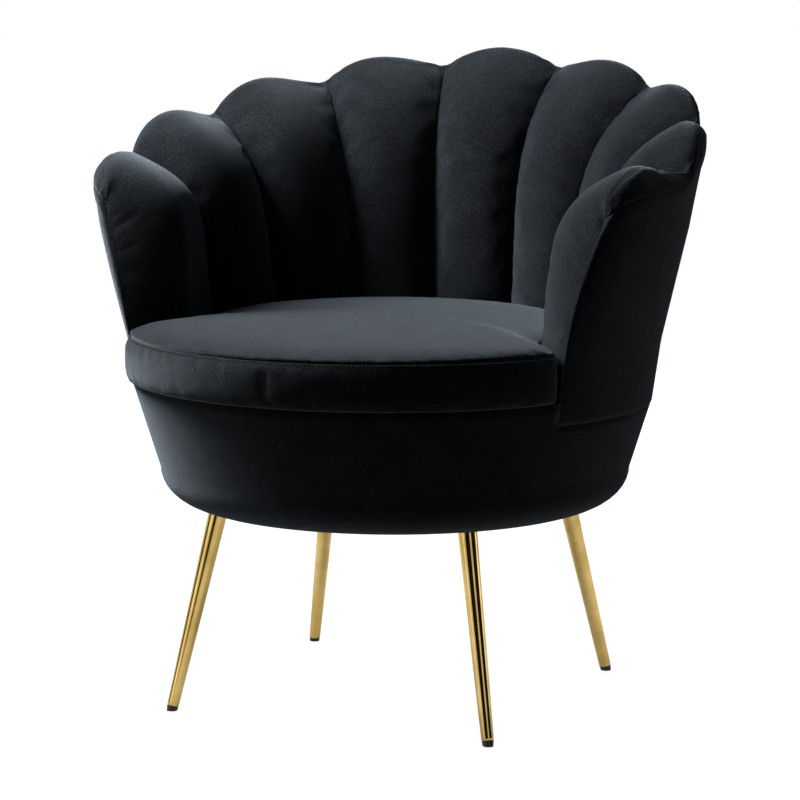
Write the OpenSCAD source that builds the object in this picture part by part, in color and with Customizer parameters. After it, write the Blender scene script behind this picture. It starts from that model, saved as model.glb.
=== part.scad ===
// Scallop-back tub chair: nine sewn back channels, a loose round seat cushion, an upholstered
// drum base and four splayed brass-plated legs. Millimetres, +Z up, the front faces -Y, and the
// origin is on the floor under the middle of the chair. The chair is symmetric about X = 0.

/* [Back and arms] */
// Height of the middle channel's crest above the floor
crest_mid_z = 788; // [700:1:860]
// How much lower the crest line is on the arms
arm_drop_h = 121; // [60:1:160]
// Depth of the dip between two crests at the middle of the back
dip_mid_h = 21; // [5:1:40]
// Depth of the dip between two crests on the arms
dip_side_h = 22; // [5:1:40]
// Radius of the seams between channels beside the cushion
seat_r = 278; // [250:1:310]
// Distance from those seams out to the tub's foot, where it meets the base
foot_reach = 37; // [33:1:50]
// How far the tub's rim stands out past its foot
rim_flare = 70; // [50:1:95]
// How far the tub's foot lies below the deck
hip_drop_h = 28; // [22:1:34]
// How far a channel stands out from its seams
channel_bulge = 21.5; // [10:0.5:22]
// How far the tub's centre lies in front of the base's centre
tub_shift = 20; // [10:1:25]

/* [Seat] */
// Height of the deck that the cushion lies on
deck_z = 400; // [360:1:440]
// Height of the cushion's upper seam above the deck
boxing_h = 54; // [40:1:60]
// Height of the cushion's crown above its upper seam
crown_h = 24; // [8:1:30]
// How far the cushion's front stands out past the seams' radius
front_reach = 41; // [37:1:52]
// Gap between the cushion and the channels round it
cushion_gap = 6.5; // [6:0.5:15]

/* [Base] */
// Height of the base, from its underside to the tub's foot
base_h = 129; // [90:1:170]
// How far the base draws in from the tub's foot down to its rounded edge
base_draw = 26; // [20:1:40]
// Height of the base's rounded lower edge
edge_h = 46; // [35:1:50]
// Width of the base's rounded lower edge
edge_w = 58; // [50:1:60]

/* [Legs] */
// Distance from the base board's edge in to the middle of each leg's top
leg_inset = 25.7; // [24:0.1:60]
// Angle of each leg round the base, counted from straight across
leg_angle = 44.7; // [35:0.1:55]
// How far each leg leans outward over its height, across the chair
lean_x = 46.2; // [20:0.2:70]
// How far each leg leans outward over its height, along the chair
lean_y = 44.8; // [20:0.2:70]
// Diameter of a leg at its top
leg_top_d = 23.6; // [20:0.2:30]
// Diameter of a leg above its foot cap
leg_low_d = 14.6; // [12:0.2:18]
// Wall of the leg's steel tube
leg_wall = 1.5; // [1:0.1:2]
// Height of the part of a foot cap that shows
cap_h = 6.5; // [4:0.5:12]

/* [Hidden] */

// Overrun of every cut, clearance between pieces that only lie together, and that of a fitted one
over = 1;
slip = 0.3;
fit = 0.1;
$fn = 64;

// Centres of the base and of the tub
base_y = -13.5;
tub_y = base_y - tub_shift;

// Radii and heights of the outline
hip_r = seat_r + foot_reach;
rim_r = hip_r + rim_flare;
hip_z = deck_z - hip_drop_h;
crest_side_z = crest_mid_z - arm_drop_h;
dip_mid_z = crest_mid_z - dip_mid_h;
dip_side_z = crest_side_z - dip_side_h;
cushion_front_r = seat_r + front_reach;
base_z = hip_z - base_h;
base_low_r = hip_r - base_draw;

// Colours
velvet = "#1d1f24";
brass = "#c9a24a";
wood = "#c8a878";
board = "#a58258";
steel = "#9a9ca0";
black = "#141414";
foam = "#e9dfb8";
felt = "#8d8d88";
strap = "#26282c";

// The tub's wall: height where its flare starts and where it is widest, with the shares of the
// way from the hip to the rim, as height and radius
flare_start_h = 50;
widest_drop_h = 43;
seat_z = deck_z + flare_start_h;
wall_top_z = crest_mid_z - widest_drop_h;
wall_shares = [[0, 0], [0.2, 0.17], [0.57, 0.66], [0.82, 0.92], [0.93, 0.985], [1, 1]];
flare_power = 4.2;
arm_flare_power = 6;

// The channels are numbered from the left arm to the right one. Counted from the middle of the
// back, the last one on each side is the arm's.
middle_number = 5;
arm_k = middle_number - 1;
// The angle from one seam to the next, at the seat and at the rim
pitch_low = 22;
pitch_top = 24.3;
// The arm's front seam: its angle and radius where it leaves the base, at the seat and at the
// rim, and the angle of the nose behind it
front_low = 116.7;
front_top = 108.5;
front_inset = 3.3;
front_rim_inset = 35;
front_hip_r = tub_shift * cos(front_low) + sqrt(pow(hip_r, 2) - pow(tub_shift * sin(front_low), 2));
front_low_r = cushion_front_r - front_inset;
front_top_r = rim_r - front_rim_inset;
nose_angle = 9;
front_back_angle = 1;
nose_drop_h = 5;
nose_top_z = dip_side_z - nose_drop_h;
// Roundness of a channel's crest: at its middle, at its seams and on the arms
crest_round = 16;
arm_round = 30;
dip_round = 4;
// How far a crest stands out behind the seams, and how far an arm's channel stands out inward
crest_out = 4;
crest_out_shares = [0.75, 0.75, 1, 0.5, 0];
crest_shares = [1, 0.893, 0.678, 0.39, 0];
arm_bulge = 29;
// Shape of the bulge and of the scallop across a channel, and of the arm's nose
bulge_power = 0.7;
scallop_power = 0.9;
crest_out_power = 8;
nose_fill_power = 0.8;
nose_cap_power = 0.5;
// Where the crest's arc starts, counted from the horizontal on the seat's side
crest_start = 36;
// Least thickness of a channel's pad, over its seams, and the gap left between two channels
pad_min = 6;
seam_share = 0.006;
// Skins and panels
cover_t = 4;
panel_t = 3;

// Columns across a channel, and rows up its inner face and over its crest
column_shares = [-1, -0.92, -0.7, -0.36, 0, 0.36, 0.7, 0.92, 1];
arm_shares = [-1, -0.92, -0.7, -0.36, 0, 0.3, 0.55, 0.8, 0.97];
row_shares = [0, 0.16, 0.36, 0.56, 0.72, 0.84, 0.93, 1];
crest_angles = [75, 112, 148, 180];

// Base profile and its skins, and half the angle of the front that the arms leave open
base_skin = 3;
front_gap_angle = 0.25;
front_half = atan2(front_hip_r * sin(front_low), tub_shift - front_hip_r * cos(front_low)) - front_gap_angle;
lip_w = 20;
board_t = 15;
board_gap = 13;
board_inset = 37;
board_r = base_low_r - board_inset;
post_n = 8;
post_w = 40;
post_d = 24;
post_inset = 3;
ring_t = 18;
ring_drop = 38;
ring_inset = 10;
ring_z = deck_z - ring_drop;
ring_out_r = hip_r - ring_inset;
ring_in_r = board_r - post_d - post_inset;
screw_r = 2;
screw_head_r = 4;
screw_head_t = 2.5;
screw_l = 30;
rib_t = 12;
arm_post_t = 20;
rib_top_w = 16;

// Legs
plate_w = 50;
plate_t = 3;
plate_hole = 17;
leg_head_t = 1.4;
hole_slip = 0.6;
leg_screw_l = 12;
cap_spigot = 14;
cap_low_share = 0.86;

// Deck
strap_w = 60;
strap_t = 2;
strap_step = 84;
strap_hold = 27;
strap_r = ring_in_r + strap_hold;
staple_l = 12;
staple_t = 1;
deck_cover_t = 1.5;

// Cushion
cushion_rear_r = seat_r - channel_bulge - cushion_gap;
rear_end = front_low - nose_angle;
ear_gap_angle = 1.1;
ear_angle = 6.2;
ear_start = front_low + ear_gap_angle;
ear_end = ear_start + ear_angle;
ear_inset = 7;
ear_r = cushion_front_r - ear_inset;
ear_share = 0.65;
boxing_bulge = 2;
foam_inset = 10;
zip_angle = 60;
zip_w = 22;
zip_t = 1.2;
slider_w = 9;
slider_l = 11;
slider_t = 2.6;

function clamp(v) = max(0, min(1, v));
function mix(a, b, s) = a + (b - a) * s;
function polar(angle, r, z) = [r * sin(angle), tub_y + r * cos(angle), z];

// Outer radius of the wall about the tub's centre
function wall_share(z) = clamp((z - hip_z) / (wall_top_z - hip_z));
function wall_r(angle, z) =
    mix(hip_r, rim_r, lookup(wall_share(z), wall_shares)) + tub_shift * (1 - wall_share(z)) * cos(angle);

// Heights of the scalloped rim
function dip_z(angle) = dip_side_z + (dip_mid_z - dip_side_z) * cos(angle);
function crest_z(k) = mix(crest_side_z, crest_mid_z, crest_shares[k]);
function swell(c, power) = pow(max(0, 1 - c * c), power);
function crest_stand(k) = crest_out * crest_out_shares[k];

// A column of channel k, counted from the middle of the back, at share c of its half width.
// On the arm, c runs on past 0 round the arm's nose to its front seam.
function on_nose(k, c) = k == arm_k && c > 0;
function nose_cos(c) = cos(90 * c);
function nose_fill(c) = pow(nose_cos(c), nose_fill_power);
function nose_cap(c) = pow(nose_cos(c), nose_cap_power);
function face_c(k, c) = on_nose(k, c) ? 0 : c;
function level_angle(k, c, pitch, front) =
    k < arm_k ? pitch * (k + c * (1 - seam_share) / 2)
    : c <= 0 ? mix(pitch * (arm_k - (1 - seam_share) / 2), front - nose_angle, 1 + c)
    : front - nose_angle * (1 - sin(90 * c));
function top_angle(k, c) = level_angle(k, c, pitch_top, front_top);
function low_angle(k, c) = level_angle(k, c, pitch_low, front_low);
function col_angle(k, c, t) =
    mix(low_angle(k, c), top_angle(k, c), pow(t, k < arm_k ? 1 : 2 + min(0, c)));
function col_swell(k, c) = swell(face_c(k, c), scallop_power);
function face_top_z(k, c) =
    let (a = top_angle(k, face_c(k, c)))
    mix(dip_z(a), crest_z(k), col_swell(k, c));
function toward_arm(k, c) = pow((k + c / 2) / arm_k, 2);
function col_round(k, c) =
    mix(dip_round, mix(crest_round, arm_round, toward_arm(k, 0)), col_swell(k, c));
function nose_drop(k, c, z) = on_nose(k, c) ? mix(nose_top_z, z, nose_cap(c)) : z;
function col_top_z(k, c) = nose_drop(k, c, face_top_z(k, c));
function col_edge_z(k, c) = nose_drop(k, c, face_top_z(k, c) - col_round(k, c));
function col_inner_z(k, c) =
    nose_drop(k, c, face_top_z(k, c) - col_round(k, c) * (1 - sin(crest_start)));
function face_edge_r(k, c) =
    wall_r(top_angle(k, face_c(k, c)), face_top_z(k, c) - col_round(k, c)) + crest_stand(k) * col_swell(k, c);
function col_edge_r(k, c) =
    on_nose(k, c) ? mix(front_top_r, face_edge_r(k, c), nose_cos(c)) : face_edge_r(k, c);
function face_inner_r(k, c) = face_edge_r(k, c) - col_round(k, c) * (1 + cos(crest_start));
function col_inner_r(k, c) =
    on_nose(k, c) ? mix(front_top_r, face_inner_r(k, c), nose_fill(c)) : face_inner_r(k, c);
function front_r(z, top) =
    z < seat_z ? mix(front_hip_r, front_low_r, clamp((z - hip_z) / (seat_z - hip_z)))
               : mix(front_low_r, front_top_r, rise(z, top));

// The seat's side of a channel, at share s of the way from the deck to the crest's arc
function rise(z, top) = clamp((z - seat_z) / (top - seat_z));
function face_r(k, c, t) =
    let (low = seat_r - (k < arm_k ? channel_bulge : arm_bulge) * swell(face_c(k, c), bulge_power),
         power = mix(flare_power, arm_flare_power, toward_arm(k, face_c(k, c))))
    mix(low, face_inner_r(k, c), pow(t, power));
function front_point(k, c, s) =
    let (z = mix(deck_z + slip, col_inner_z(k, c), s),
         t = rise(z, col_inner_z(k, c)),
         r = face_r(k, c, t))
    let (nose_r = mix(front_r(z, col_inner_z(k, c)) - slip, r, nose_fill(c)))
    polar(col_angle(k, c, t), on_nose(k, c) ? nose_r : r, z);
function crest_point(k, c, angle) =
    let (half = (col_edge_r(k, c) - col_inner_r(k, c)) / (1 + cos(crest_start)),
         r = col_edge_r(k, c) - half * (1 + cos(angle)),
         z = col_edge_z(k, c) + (col_top_z(k, c) - col_edge_z(k, c)) * sin(angle) + slip)
    polar(top_angle(k, c), r, z);

// The smooth surface behind the channels, a distance d behind their seams
function back_r(angle, z, d) =
    let (top = dip_z(angle),
         t = rise(z, top))
    min(mix(seat_r, wall_r(angle, top) - 2 * dip_round, pow(t, flare_power)) + d,
        wall_r(angle, z) - cover_t - slip - pad_min + d);
function face_back(k, c, s) =
    let (z = mix(deck_z + slip, col_edge_z(k, c), s),
         a = col_angle(k, c, rise(z, col_inner_z(k, c))))
    polar(a, back_r(a, z, pad_min), z);
function front_inside(s) =
    let (z = mix(deck_z + slip, nose_top_z, s),
         t = rise(z, nose_top_z))
    polar(mix(front_low, front_top, t * t) - front_back_angle,
          front_r(z, nose_top_z) - cover_t / 2 - slip, z);
function back_point(k, c, s) =
    on_nose(k, c) ? mix(face_back(k, 0, s), front_inside(s), sin(90 * c)) : face_back(k, c, s);
function shelf_point(k, c, share) =
    let (end = on_nose(k, c)
             ? mix(polar(top_angle(k, 0), col_edge_r(k, 0) - cover_t - slip, col_edge_z(k, 0)),
                   front_inside(1), sin(90 * c))
             : polar(top_angle(k, c), col_edge_r(k, c) - cover_t - slip, col_edge_z(k, c)))
    mix(back_point(k, c, 1), [end[0], end[1], end[2] + slip], share);

// Rings of a channel, each one once round: its front from left to right, then its back
function columns(k) = k < arm_k ? column_shares : arm_shares;
function reversed(list) = [for (i = [len(list) - 1:-1:0]) list[i]];
function face_ring(k, s, list) =
    concat([for (c = list) front_point(k, c, s)],
           [for (c = reversed(list)) back_point(k, c, s)]);
function crest_ring(k, i) =
    let (share = (i + 1) / len(crest_angles))
    concat([for (c = columns(k)) crest_point(k, c, crest_angles[i])],
           [for (c = reversed(columns(k))) shelf_point(k, c, share)]);
function channel_rings(k) =
    concat([for (s = row_shares) face_ring(k, s, columns(k))],
           [for (i = [0:len(crest_angles) - 1]) crest_ring(k, i)]);

// A closed solid over rings of one length, capped across between their two halves
function flat(list) = [for (part = list) each part];
function ring_faces(rows, n) =
    [for (j = [0:rows - 2], i = [0:n - 1])
        let (a = j * n + i, b = j * n + (i + 1) % n)
        each [[a, b, b + n], [a, b + n, a + n]]];
function cap_faces(start, n, up) =
    [for (i = [0:n / 2 - 2])
        let (a = start + i, b = start + n - 1 - i)
        each up ? [[a, a + 1, b - 1], [a, b - 1, b]] : [[a, b - 1, a + 1], [a, b, b - 1]]];
module ring_solid(rings) {
    n = len(rings[0]);
    rows = len(rings);
    faces = concat(ring_faces(rows, n), cap_faces(0, n, false), cap_faces((rows - 1) * n, n, true));
    polyhedron(points = flat(rings), faces = faces);
}

// The foam inside a channel: some columns of its rings, drawn in by a share towards their
// middle. On the arm it ends where the nose starts.
core_share = 0.6;
arm_core_share = 0.55;
foam_rows = [1, 2, 3, 4, 5, 6];
foam_shares = [-1, -0.7, 0, 0.7, 1];
arm_foam_shares = [-1, -0.7, -0.36, 0];
function mean(list) = list * [for (p = list) 1] / len(list);
function middle(ring) = [for (axis = [0:2]) mean([for (p = ring) p[axis]])];
function shrunk(ring, share) =
    let (m = middle(ring))
    [for (p = ring) m + (p - m) * share];
module channel_core(k) {
    share = k < arm_k ? core_share : arm_core_share;
    list = k < arm_k ? foam_shares : arm_foam_shares;
    ring_solid([for (j = reversed(foam_rows)) shrunk(face_ring(k, row_shares[j], list), share)]);
}

module at_side(number) {
    if (number < middle_number) {
        mirror([1, 0, 0]) children();
    } else {
        children();
    }
}

module channel(number) {
    k = abs(number - middle_number);
    color(velvet)
        at_side(number)
            difference() {
                ring_solid(reversed(channel_rings(k)));
                channel_core(k);
            }
}

module channel_foams() {
    color(foam)
        for (number = [1:2 * middle_number - 1])
            at_side(number) channel_core(abs(number - middle_number));
}

// Shells of the tub's wall, as columns from the left arm to the right one. A column is
// [side, k, c], and a surface gives a point for it at share s of its height.
function half_columns() =
    concat([for (c = column_shares) if (c > 0) [0, c]],
           [for (k = [1:arm_k], c = columns(k)) if (c > -1) [k, c]]);
function wall_columns() =
    let (right = half_columns())
    concat([for (p = reversed(right)) [-1, p[0], p[1]]], [[1, 0, 0]],
           [for (p = right) [1, p[0], p[1]]]);
function sided(side, p) = [side * p[0], p[1], p[2]];

// The outside of the cover, and its inside
cover_rows = [0, 0.22, 0.45, 0.7, 0.88, 1];
function shoulder(k, c, z, r) =
    on_nose(k, c) ? mix(front_r(z, nose_top_z), r, nose_cos(c)) : r;
function cover_point(k, c, s, inset) =
    let (z = mix(hip_z + slip, col_edge_z(k, c), s),
         t = rise(z, col_inner_z(k, c)),
         a = col_angle(k, c, t),
         wall = wall_r(a, z) + crest_stand(k) * col_swell(k, c) * pow(s, crest_out_power),
         last = s == 1 ? col_edge_r(k, c) : shoulder(k, c, z, wall),
         back = inset > 0 && on_nose(k, c) ? inset * (1 - nose_cos(c)) / last * 180 / PI : 0)
    polar(a - back, last - inset * (on_nose(k, c) ? nose_cos(c) : 1), z);
module outer_cover() {
    cols = wall_columns();
    rings = [for (p = cols)
        concat([for (s = cover_rows) sided(p[0], cover_point(p[1], p[2], s, 0))],
               [for (s = reversed(cover_rows)) sided(p[0], cover_point(p[1], p[2], s, cover_t))])];
    color(velvet) ring_solid(reversed(rings));
}

// A bent panel: rows of [z share], radius function picked by kind, from -end to end
panel_step = 5.75;
panel_end = 17;
panel_rows = [0, 0.2, 0.42, 0.58, 0.7, 0.8, 0.9, 1];
panel_gap = 2.4;
inner_top_share = 0.84;
outer_top_drop = 24;
panel_low_z = hip_z + over;
function inner_panel_top(a) = mix(seat_z, dip_z(a), inner_top_share);
function outer_panel_top(a) = dip_z(a) - outer_top_drop;
function inner_panel_r(a, z) = back_r(a, z, pad_min) + panel_gap;
function outer_panel_r(a, z) = wall_r(a, z) - cover_t - panel_gap - panel_t;
function panel_line(a, inner) =
    [for (s = panel_rows)
        let (z = inner ? mix(ring_z + ring_t, inner_panel_top(a), s) : mix(panel_low_z, outer_panel_top(a), s))
        [z, inner ? inner_panel_r(a, z) : outer_panel_r(a, z)]];
function panel_side(a, inner, out) =
    [for (p = panel_line(abs(a), inner)) polar(a, p[1] + out, p[0])];
module bent_panel(inner) {
    rings = [for (i = [-panel_end:panel_end])
        concat(panel_side(i * panel_step, inner, panel_t), reversed(panel_side(i * panel_step, inner, 0)))];
    color(board) ring_solid(reversed(rings));
}
module inner_panel() bent_panel(true);
module outer_panel() bent_panel(false);

// Upright ribs between the two panels, cut from flat board. Their edges turn where the panels do.
rib_slip = 1.5;
rib_top_share = 0.72;
rib_step = (pitch_low + pitch_top) / 2;
arm_post_angle = 96;
function rib_in_r(a, z) = lookup(z, panel_line(a, true)) + panel_t + rib_slip;
function rib_out_r(a, z) = lookup(z, panel_line(a, false)) - rib_slip;
function rib_levels(a, low, top, inner) =
    concat([low], [for (p = panel_line(a, inner)) if (p[0] > low && p[0] < top) p[0]], [top]);
module upright(a, thickness) {
    low = ring_z + ring_t;
    top = mix(seat_z, dip_z(a), rib_top_share);
    color(wood)
        translate([0, tub_y, 0])
            rotate([0, 0, 90 - a])
                rotate([90, 0, 0])
                    translate([0, 0, -thickness / 2])
                        linear_extrude(thickness)
                            polygon(concat(
                                [for (z = rib_levels(a, low, top, true)) [rib_in_r(a, z), z]],
                                [for (z = reversed(rib_levels(a, low, top, false))) [rib_out_r(a, z), z]]));
}
module back_rib(number) {
    difference() {
        at_side(number) upright(rib_step * (abs(number - arm_k - 1 / 2)), rib_t);
        rib_screw_places() screw_hole();
    }
}
module arm_post(side) {
    difference() {
        mirror([side < 0 ? 1 : 0, 0, 0]) upright(arm_post_angle, arm_post_t);
        rib_screw_places() screw_hole();
    }
}

// Screws point up: the shank starts at the underside of its head
module screw() {
    cylinder(r = screw_r, h = screw_l);
    translate([0, 0, -screw_head_t]) cylinder(r = screw_head_r, h = screw_head_t);
}
module screw_hole() {
    cylinder(r = screw_r + fit, h = screw_l + fit);
}
rib_screw_inset = 5;
module rib_screw_places() {
    angles = concat([for (n = [1:arm_k]) rib_step * (n - 1 / 2)], [arm_post_angle]);
    for (a = angles, side = [-1, 1]) {
        r = (rib_in_r(a, ring_z + ring_t) + rib_out_r(a, ring_z + ring_t)) / 2;
        p = polar(side * a, r - rib_screw_inset, ring_z);
        translate(p) children();
    }
}
module rib_screws() {
    color(steel) rib_screw_places() screw();
}

// Wooden base: a board for the legs, posts and a ring that carries the deck and the tub
module base_board() {
    color(wood)
        difference() {
            translate([0, base_y, board_low_z()]) cylinder(r = board_r, h = board_t);
            leg_screw_places()
                translate([0, 0, -over]) cylinder(r = screw_r + fit, h = leg_screw_l + over + fit);
            post_screw_places(board_low_z()) screw_hole();
        }
}
function board_low_z() = base_z + board_gap;
module post_places() {
    for (i = [0:post_n - 1])
        translate([0, base_y, 0]) rotate([0, 0, (i + 1 / 2) * 360 / post_n]) children();
}
module post_screw_places(z) {
    post_places() translate([ring_in_r + post_d / 2, 0, z]) children();
}
module frame_posts() {
    low = board_low_z() + board_t;
    color(wood)
        difference() {
            post_places()
                translate([ring_in_r, -post_w / 2, low]) cube([post_d, post_w, ring_z - low]);
            post_screw_places(board_low_z()) screw_hole();
            post_screw_places(ring_z + ring_t) mirror([0, 0, 1]) screw_hole();
        }
}
module post_screws() {
    color(steel) {
        post_screw_places(board_low_z()) screw();
        post_screw_places(ring_z + ring_t) mirror([0, 0, 1]) screw();
    }
}
module seat_ring() {
    color(wood)
        difference() {
            translate([0, base_y, ring_z]) cylinder(r = ring_out_r, h = ring_t);
            translate([0, base_y, ring_z - over]) cylinder(r = ring_in_r, h = ring_t + 2 * over);
            rib_screw_places() translate([0, 0, -over]) cylinder(r = screw_r + fit, h = ring_t + 2 * over);
            post_screw_places(ring_z + ring_t) mirror([0, 0, 1]) screw_hole();
        }
}

// Half of the base's outline, from the underside up: the rounded edge, then the taper
edge_angles = [90, 75, 60, 45, 30, 15, 0];
taper = (hip_r - base_low_r) / (hip_z - base_z - edge_h);
function base_r(z) = base_low_r + taper * (z - base_z - edge_h);
function edge_outline(inset) =
    [for (a = edge_angles)
        [base_low_r - edge_w + (edge_w - inset) * cos(a), base_z + edge_h - (edge_h - inset) * sin(a)]];
module base_skin_solid() {
    front_top = deck_z - deck_cover_t;
    lip = base_low_r - edge_w - lip_w;
    translate([0, base_y, 0])
        difference() {
            rotate_extrude($fn = 96)
                polygon(concat([[lip, base_z]], edge_outline(0),
                               [[base_r(front_top), front_top], [base_r(front_top) - base_skin, front_top]],
                               reversed(edge_outline(base_skin)), [[lip, base_z + base_skin]]));
            translate([0, 0, hip_z])
                rotate([0, 0, -90 + front_half])
                    rotate_extrude(angle = 360 - 2 * front_half) square([2 * rim_r, hip_drop_h + over]);
        }
}
module base_cover() {
    color(velvet)
        difference() {
            base_skin_solid();
            for (x = [-1, 1], y = [-1, 1])
                leg_side(x, y)
                    along_leg() cylinder(r = leg_top_d / 2 + hole_slip, h = leg_l);
        }
}

drum_low_z = board_low_z() + over;
drum_low_r = board_r + slip;
drum_top_r = ring_out_r - panel_t - over;
module drum_panel() {
    top = ring_z - slip;
    color(board)
        translate([0, base_y, 0])
            rotate_extrude($fn = 96)
                polygon([[drum_low_r, drum_low_z], [drum_low_r + panel_t, drum_low_z],
                         [drum_low_r + panel_t, board_low_z() + board_t],
                         [drum_top_r + panel_t, top], [drum_top_r, top],
                         [drum_low_r, board_low_z() + board_t]]);
}
module base_wadding() {
    gap = base_skin + slip;
    low = [for (p = reversed(edge_outline(gap))) if (p[1] >= drum_low_z) p];
    color(foam)
        translate([0, base_y, 0])
            rotate_extrude($fn = 96)
                polygon(concat([[drum_low_r + panel_t + slip, drum_low_z]],
                               reversed(low),
                               [[base_r(ring_z - slip) - gap, ring_z - slip],
                                [drum_top_r + panel_t + slip, ring_z - slip],
                                [drum_low_r + panel_t + slip, board_low_z() + board_t]]));
}

// Thin cloth under the base, with its staples
dust_t = 0.8;
dust_r = base_low_r - edge_w - 2 * staple_l;
dust_hole_r = 17;
dust_staple_n = 24;
module dust_cover() {
    color(strap)
        difference() {
            translate([0, base_y, base_z - dust_t]) cylinder(r = dust_r + lip_w, h = dust_t);
            for (x = [-1, 1], y = [-1, 1])
                translate([x * leg_top_x, base_y + y * leg_top_y, base_z - dust_t - over])
                    cylinder(r = dust_hole_r, h = dust_t + 2 * over);
        }
}
module dust_staples() {
    color(steel)
        for (i = [0:dust_staple_n - 1])
            translate([0, base_y, 0])
                rotate([0, 0, (i + 1 / 2) * 360 / dust_staple_n])
                    translate([dust_r + lip_w / 2, 0, base_z - dust_t]) rotate([180, 0, 0]) staple();
}
module staple() {
    translate([-staple_t / 2, -staple_l / 2, 0]) cube([staple_t, staple_l, staple_t / 2]);
}

// Legs: tubes that lean outward, welded to plates under the base board
leg_top_z = board_low_z() - plate_t;
leg_top_x = (board_r - leg_inset) * cos(leg_angle);
leg_top_y = (board_r - leg_inset) * sin(leg_angle);
foot_x = leg_top_x + lean_x;
foot_y = leg_top_y + lean_y;
leg_run = [lean_x, lean_y, leg_top_z];
leg_l = norm(leg_run);
leg_tilt = atan2(norm([lean_x, lean_y]), leg_top_z);
leg_turn = atan2(lean_y, lean_x);
module along_leg() {
    translate([foot_x, foot_y, 0]) rotate([0, 0, leg_turn]) rotate([0, -leg_tilt, 0]) children();
}
module leg_side(x, y) {
    translate([0, base_y, 0])
        mirror([x < 0 ? 1 : 0, 0, 0]) mirror([0, y < 0 ? 1 : 0, 0]) children();
}
module cone_along(low, top, low_r, top_r) {
    translate([0, 0, low]) cylinder(r1 = low_r, r2 = top_r, h = top - low);
}
leg_slope = (leg_top_d - leg_low_d) / 2 / leg_l;
module leg(x, y) {
    color(brass)
        leg_side(x, y)
            difference() {
                along_leg()
                    cone_along(cap_h, leg_l + leg_top_d, leg_low_d / 2 + leg_slope * cap_h,
                               leg_top_d / 2 + leg_slope * leg_top_d);
                along_leg()
                    cone_along(cap_h - over, leg_l + 2 * leg_top_d, leg_low_d / 2 - leg_wall + leg_slope * cap_h,
                               leg_top_d / 2 - leg_wall + 2 * leg_slope * leg_top_d);
                translate([0, 0, leg_top_z]) cube([2 * foot_x, 2 * foot_y, 2 * plate_w]);
            }
}
module foot_cap(x, y) {
    color(black)
        leg_side(x, y)
            difference() {
                along_leg() {
                    cone_along(-leg_low_d, cap_h - slip, leg_low_d / 2 * cap_low_share, leg_low_d / 2);
                    cone_along(0, cap_h + cap_spigot, leg_low_d / 2 - leg_wall - slip,
                               leg_low_d / 2 - leg_wall - slip);
                }
                translate([0, 0, -2 * leg_low_d]) cube([2 * foot_x, 2 * foot_y, 2 * leg_low_d]);
            }
}
module plate_places() {
    for (x = [-1, 1], y = [-1, 1])
        translate([x * leg_top_x, base_y + y * leg_top_y, leg_top_z]) rotate([0, 0, 45]) children();
}
module leg_screw_places() {
    plate_places()
        for (x = [-1, 1], y = [-1, 1])
            translate([x * plate_hole, y * plate_hole, plate_t]) children();
}
module leg_plates() {
    color(steel)
        difference() {
            plate_places() translate([-plate_w / 2, -plate_w / 2, 0]) cube([plate_w, plate_w, plate_t]);
            leg_screw_places()
                translate([0, 0, -plate_t - over]) cylinder(r = screw_r + fit, h = plate_t + 2 * over);
        }
}
module leg_screws() {
    color(steel)
        leg_screw_places() {
            translate([0, 0, -plate_t]) cylinder(r = screw_r, h = plate_t + leg_screw_l);
            translate([0, 0, -plate_t - leg_head_t]) cylinder(r = screw_head_r, h = leg_head_t);
        }
}

// Elastic straps across the ring, a felt pad over them and its cloth
function strap_x(number) = (number - 5 / 2) * strap_step;
module webbing(number, cross) {
    half = sqrt(strap_r * strap_r - pow(abs(strap_x(number)) + strap_w / 2, 2));
    z = ring_z + ring_t + (cross ? strap_t : 0);
    place = [strap_x(number), 0, z];
    color(strap)
        translate([0, base_y, 0])
            rotate([0, 0, cross ? 90 : 0])
                translate(place) translate([-strap_w / 2, -half, 0]) cube([strap_w, 2 * half, strap_t]);
}
module webbing_staples() {
    z = ring_z + ring_t;
    color(steel)
        for (turn = [0, 90], number = [1:4], end = [-1, 1]) {
            half = sqrt(strap_r * strap_r - pow(abs(strap_x(number)) + strap_w / 2, 2));
            translate([0, base_y, 0])
                rotate([0, 0, turn])
                    translate([strap_x(number), end * (half - staple_l / 2), z + strap_t * (turn > 0 ? 2 : 1)])
                        rotate([0, 0, 90]) staple();
        }
}
deck_r = seat_r + pad_min - over;
deck_pad_z = ring_z + ring_t + 2 * strap_t + staple_t / 2;
module deck_shape(z, h, gap) {
    translate([0, tub_y, z]) cylinder(r = deck_r - gap, h = h);
    intersection() {
        translate([0, base_y, z]) cylinder(r = base_r(hip_z) - base_skin - slip - gap, h = h);
        translate([0, tub_y, 0])
            rotate([0, 0, -90 - front_half])
                rotate_extrude(angle = 2 * front_half) square([2 * rim_r, crest_mid_z]);
    }
}
module deck_pad() {
    color(felt) deck_shape(deck_pad_z, deck_z - deck_cover_t - deck_pad_z, 0);
}
module deck_cover() {
    color(strap) deck_shape(deck_z - deck_cover_t, deck_cover_t, 0);
}

// Seat cushion: its outline about the tub's centre, then rings from the deck up over the crown
ear_n = 6;
rear_angles = [0:7.5:105];
front_angles = [130:7:179];
arm_inset = arm_bulge - channel_bulge;
function rear_r(a) = cushion_rear_r - arm_inset * pow(clamp((a - zip_angle) / (90 - zip_angle)), 2);
function outline_half() =
    concat([for (a = rear_angles) [a, rear_r(a), 0]],
           [for (i = [0:ear_n])
               let (b = 90 * i / ear_n)
               [mix(rear_end, ear_start, sin(b)), mix(ear_r, rear_r(rear_end), cos(b)), sin(b)]],
           [[ear_start + ear_angle / 3, mix(ear_r, cushion_front_r, ear_share), 1]],
           [[ear_end, cushion_front_r, 1]],
           [for (a = front_angles) [a, cushion_front_r, 1]]);
function outline() =
    let (right = outline_half())
    concat(right, [[180, cushion_front_r, 1]],
           [for (i = [len(right) - 1:-1:1]) [-right[i][0], right[i][1], right[i][2]]]);
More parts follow.
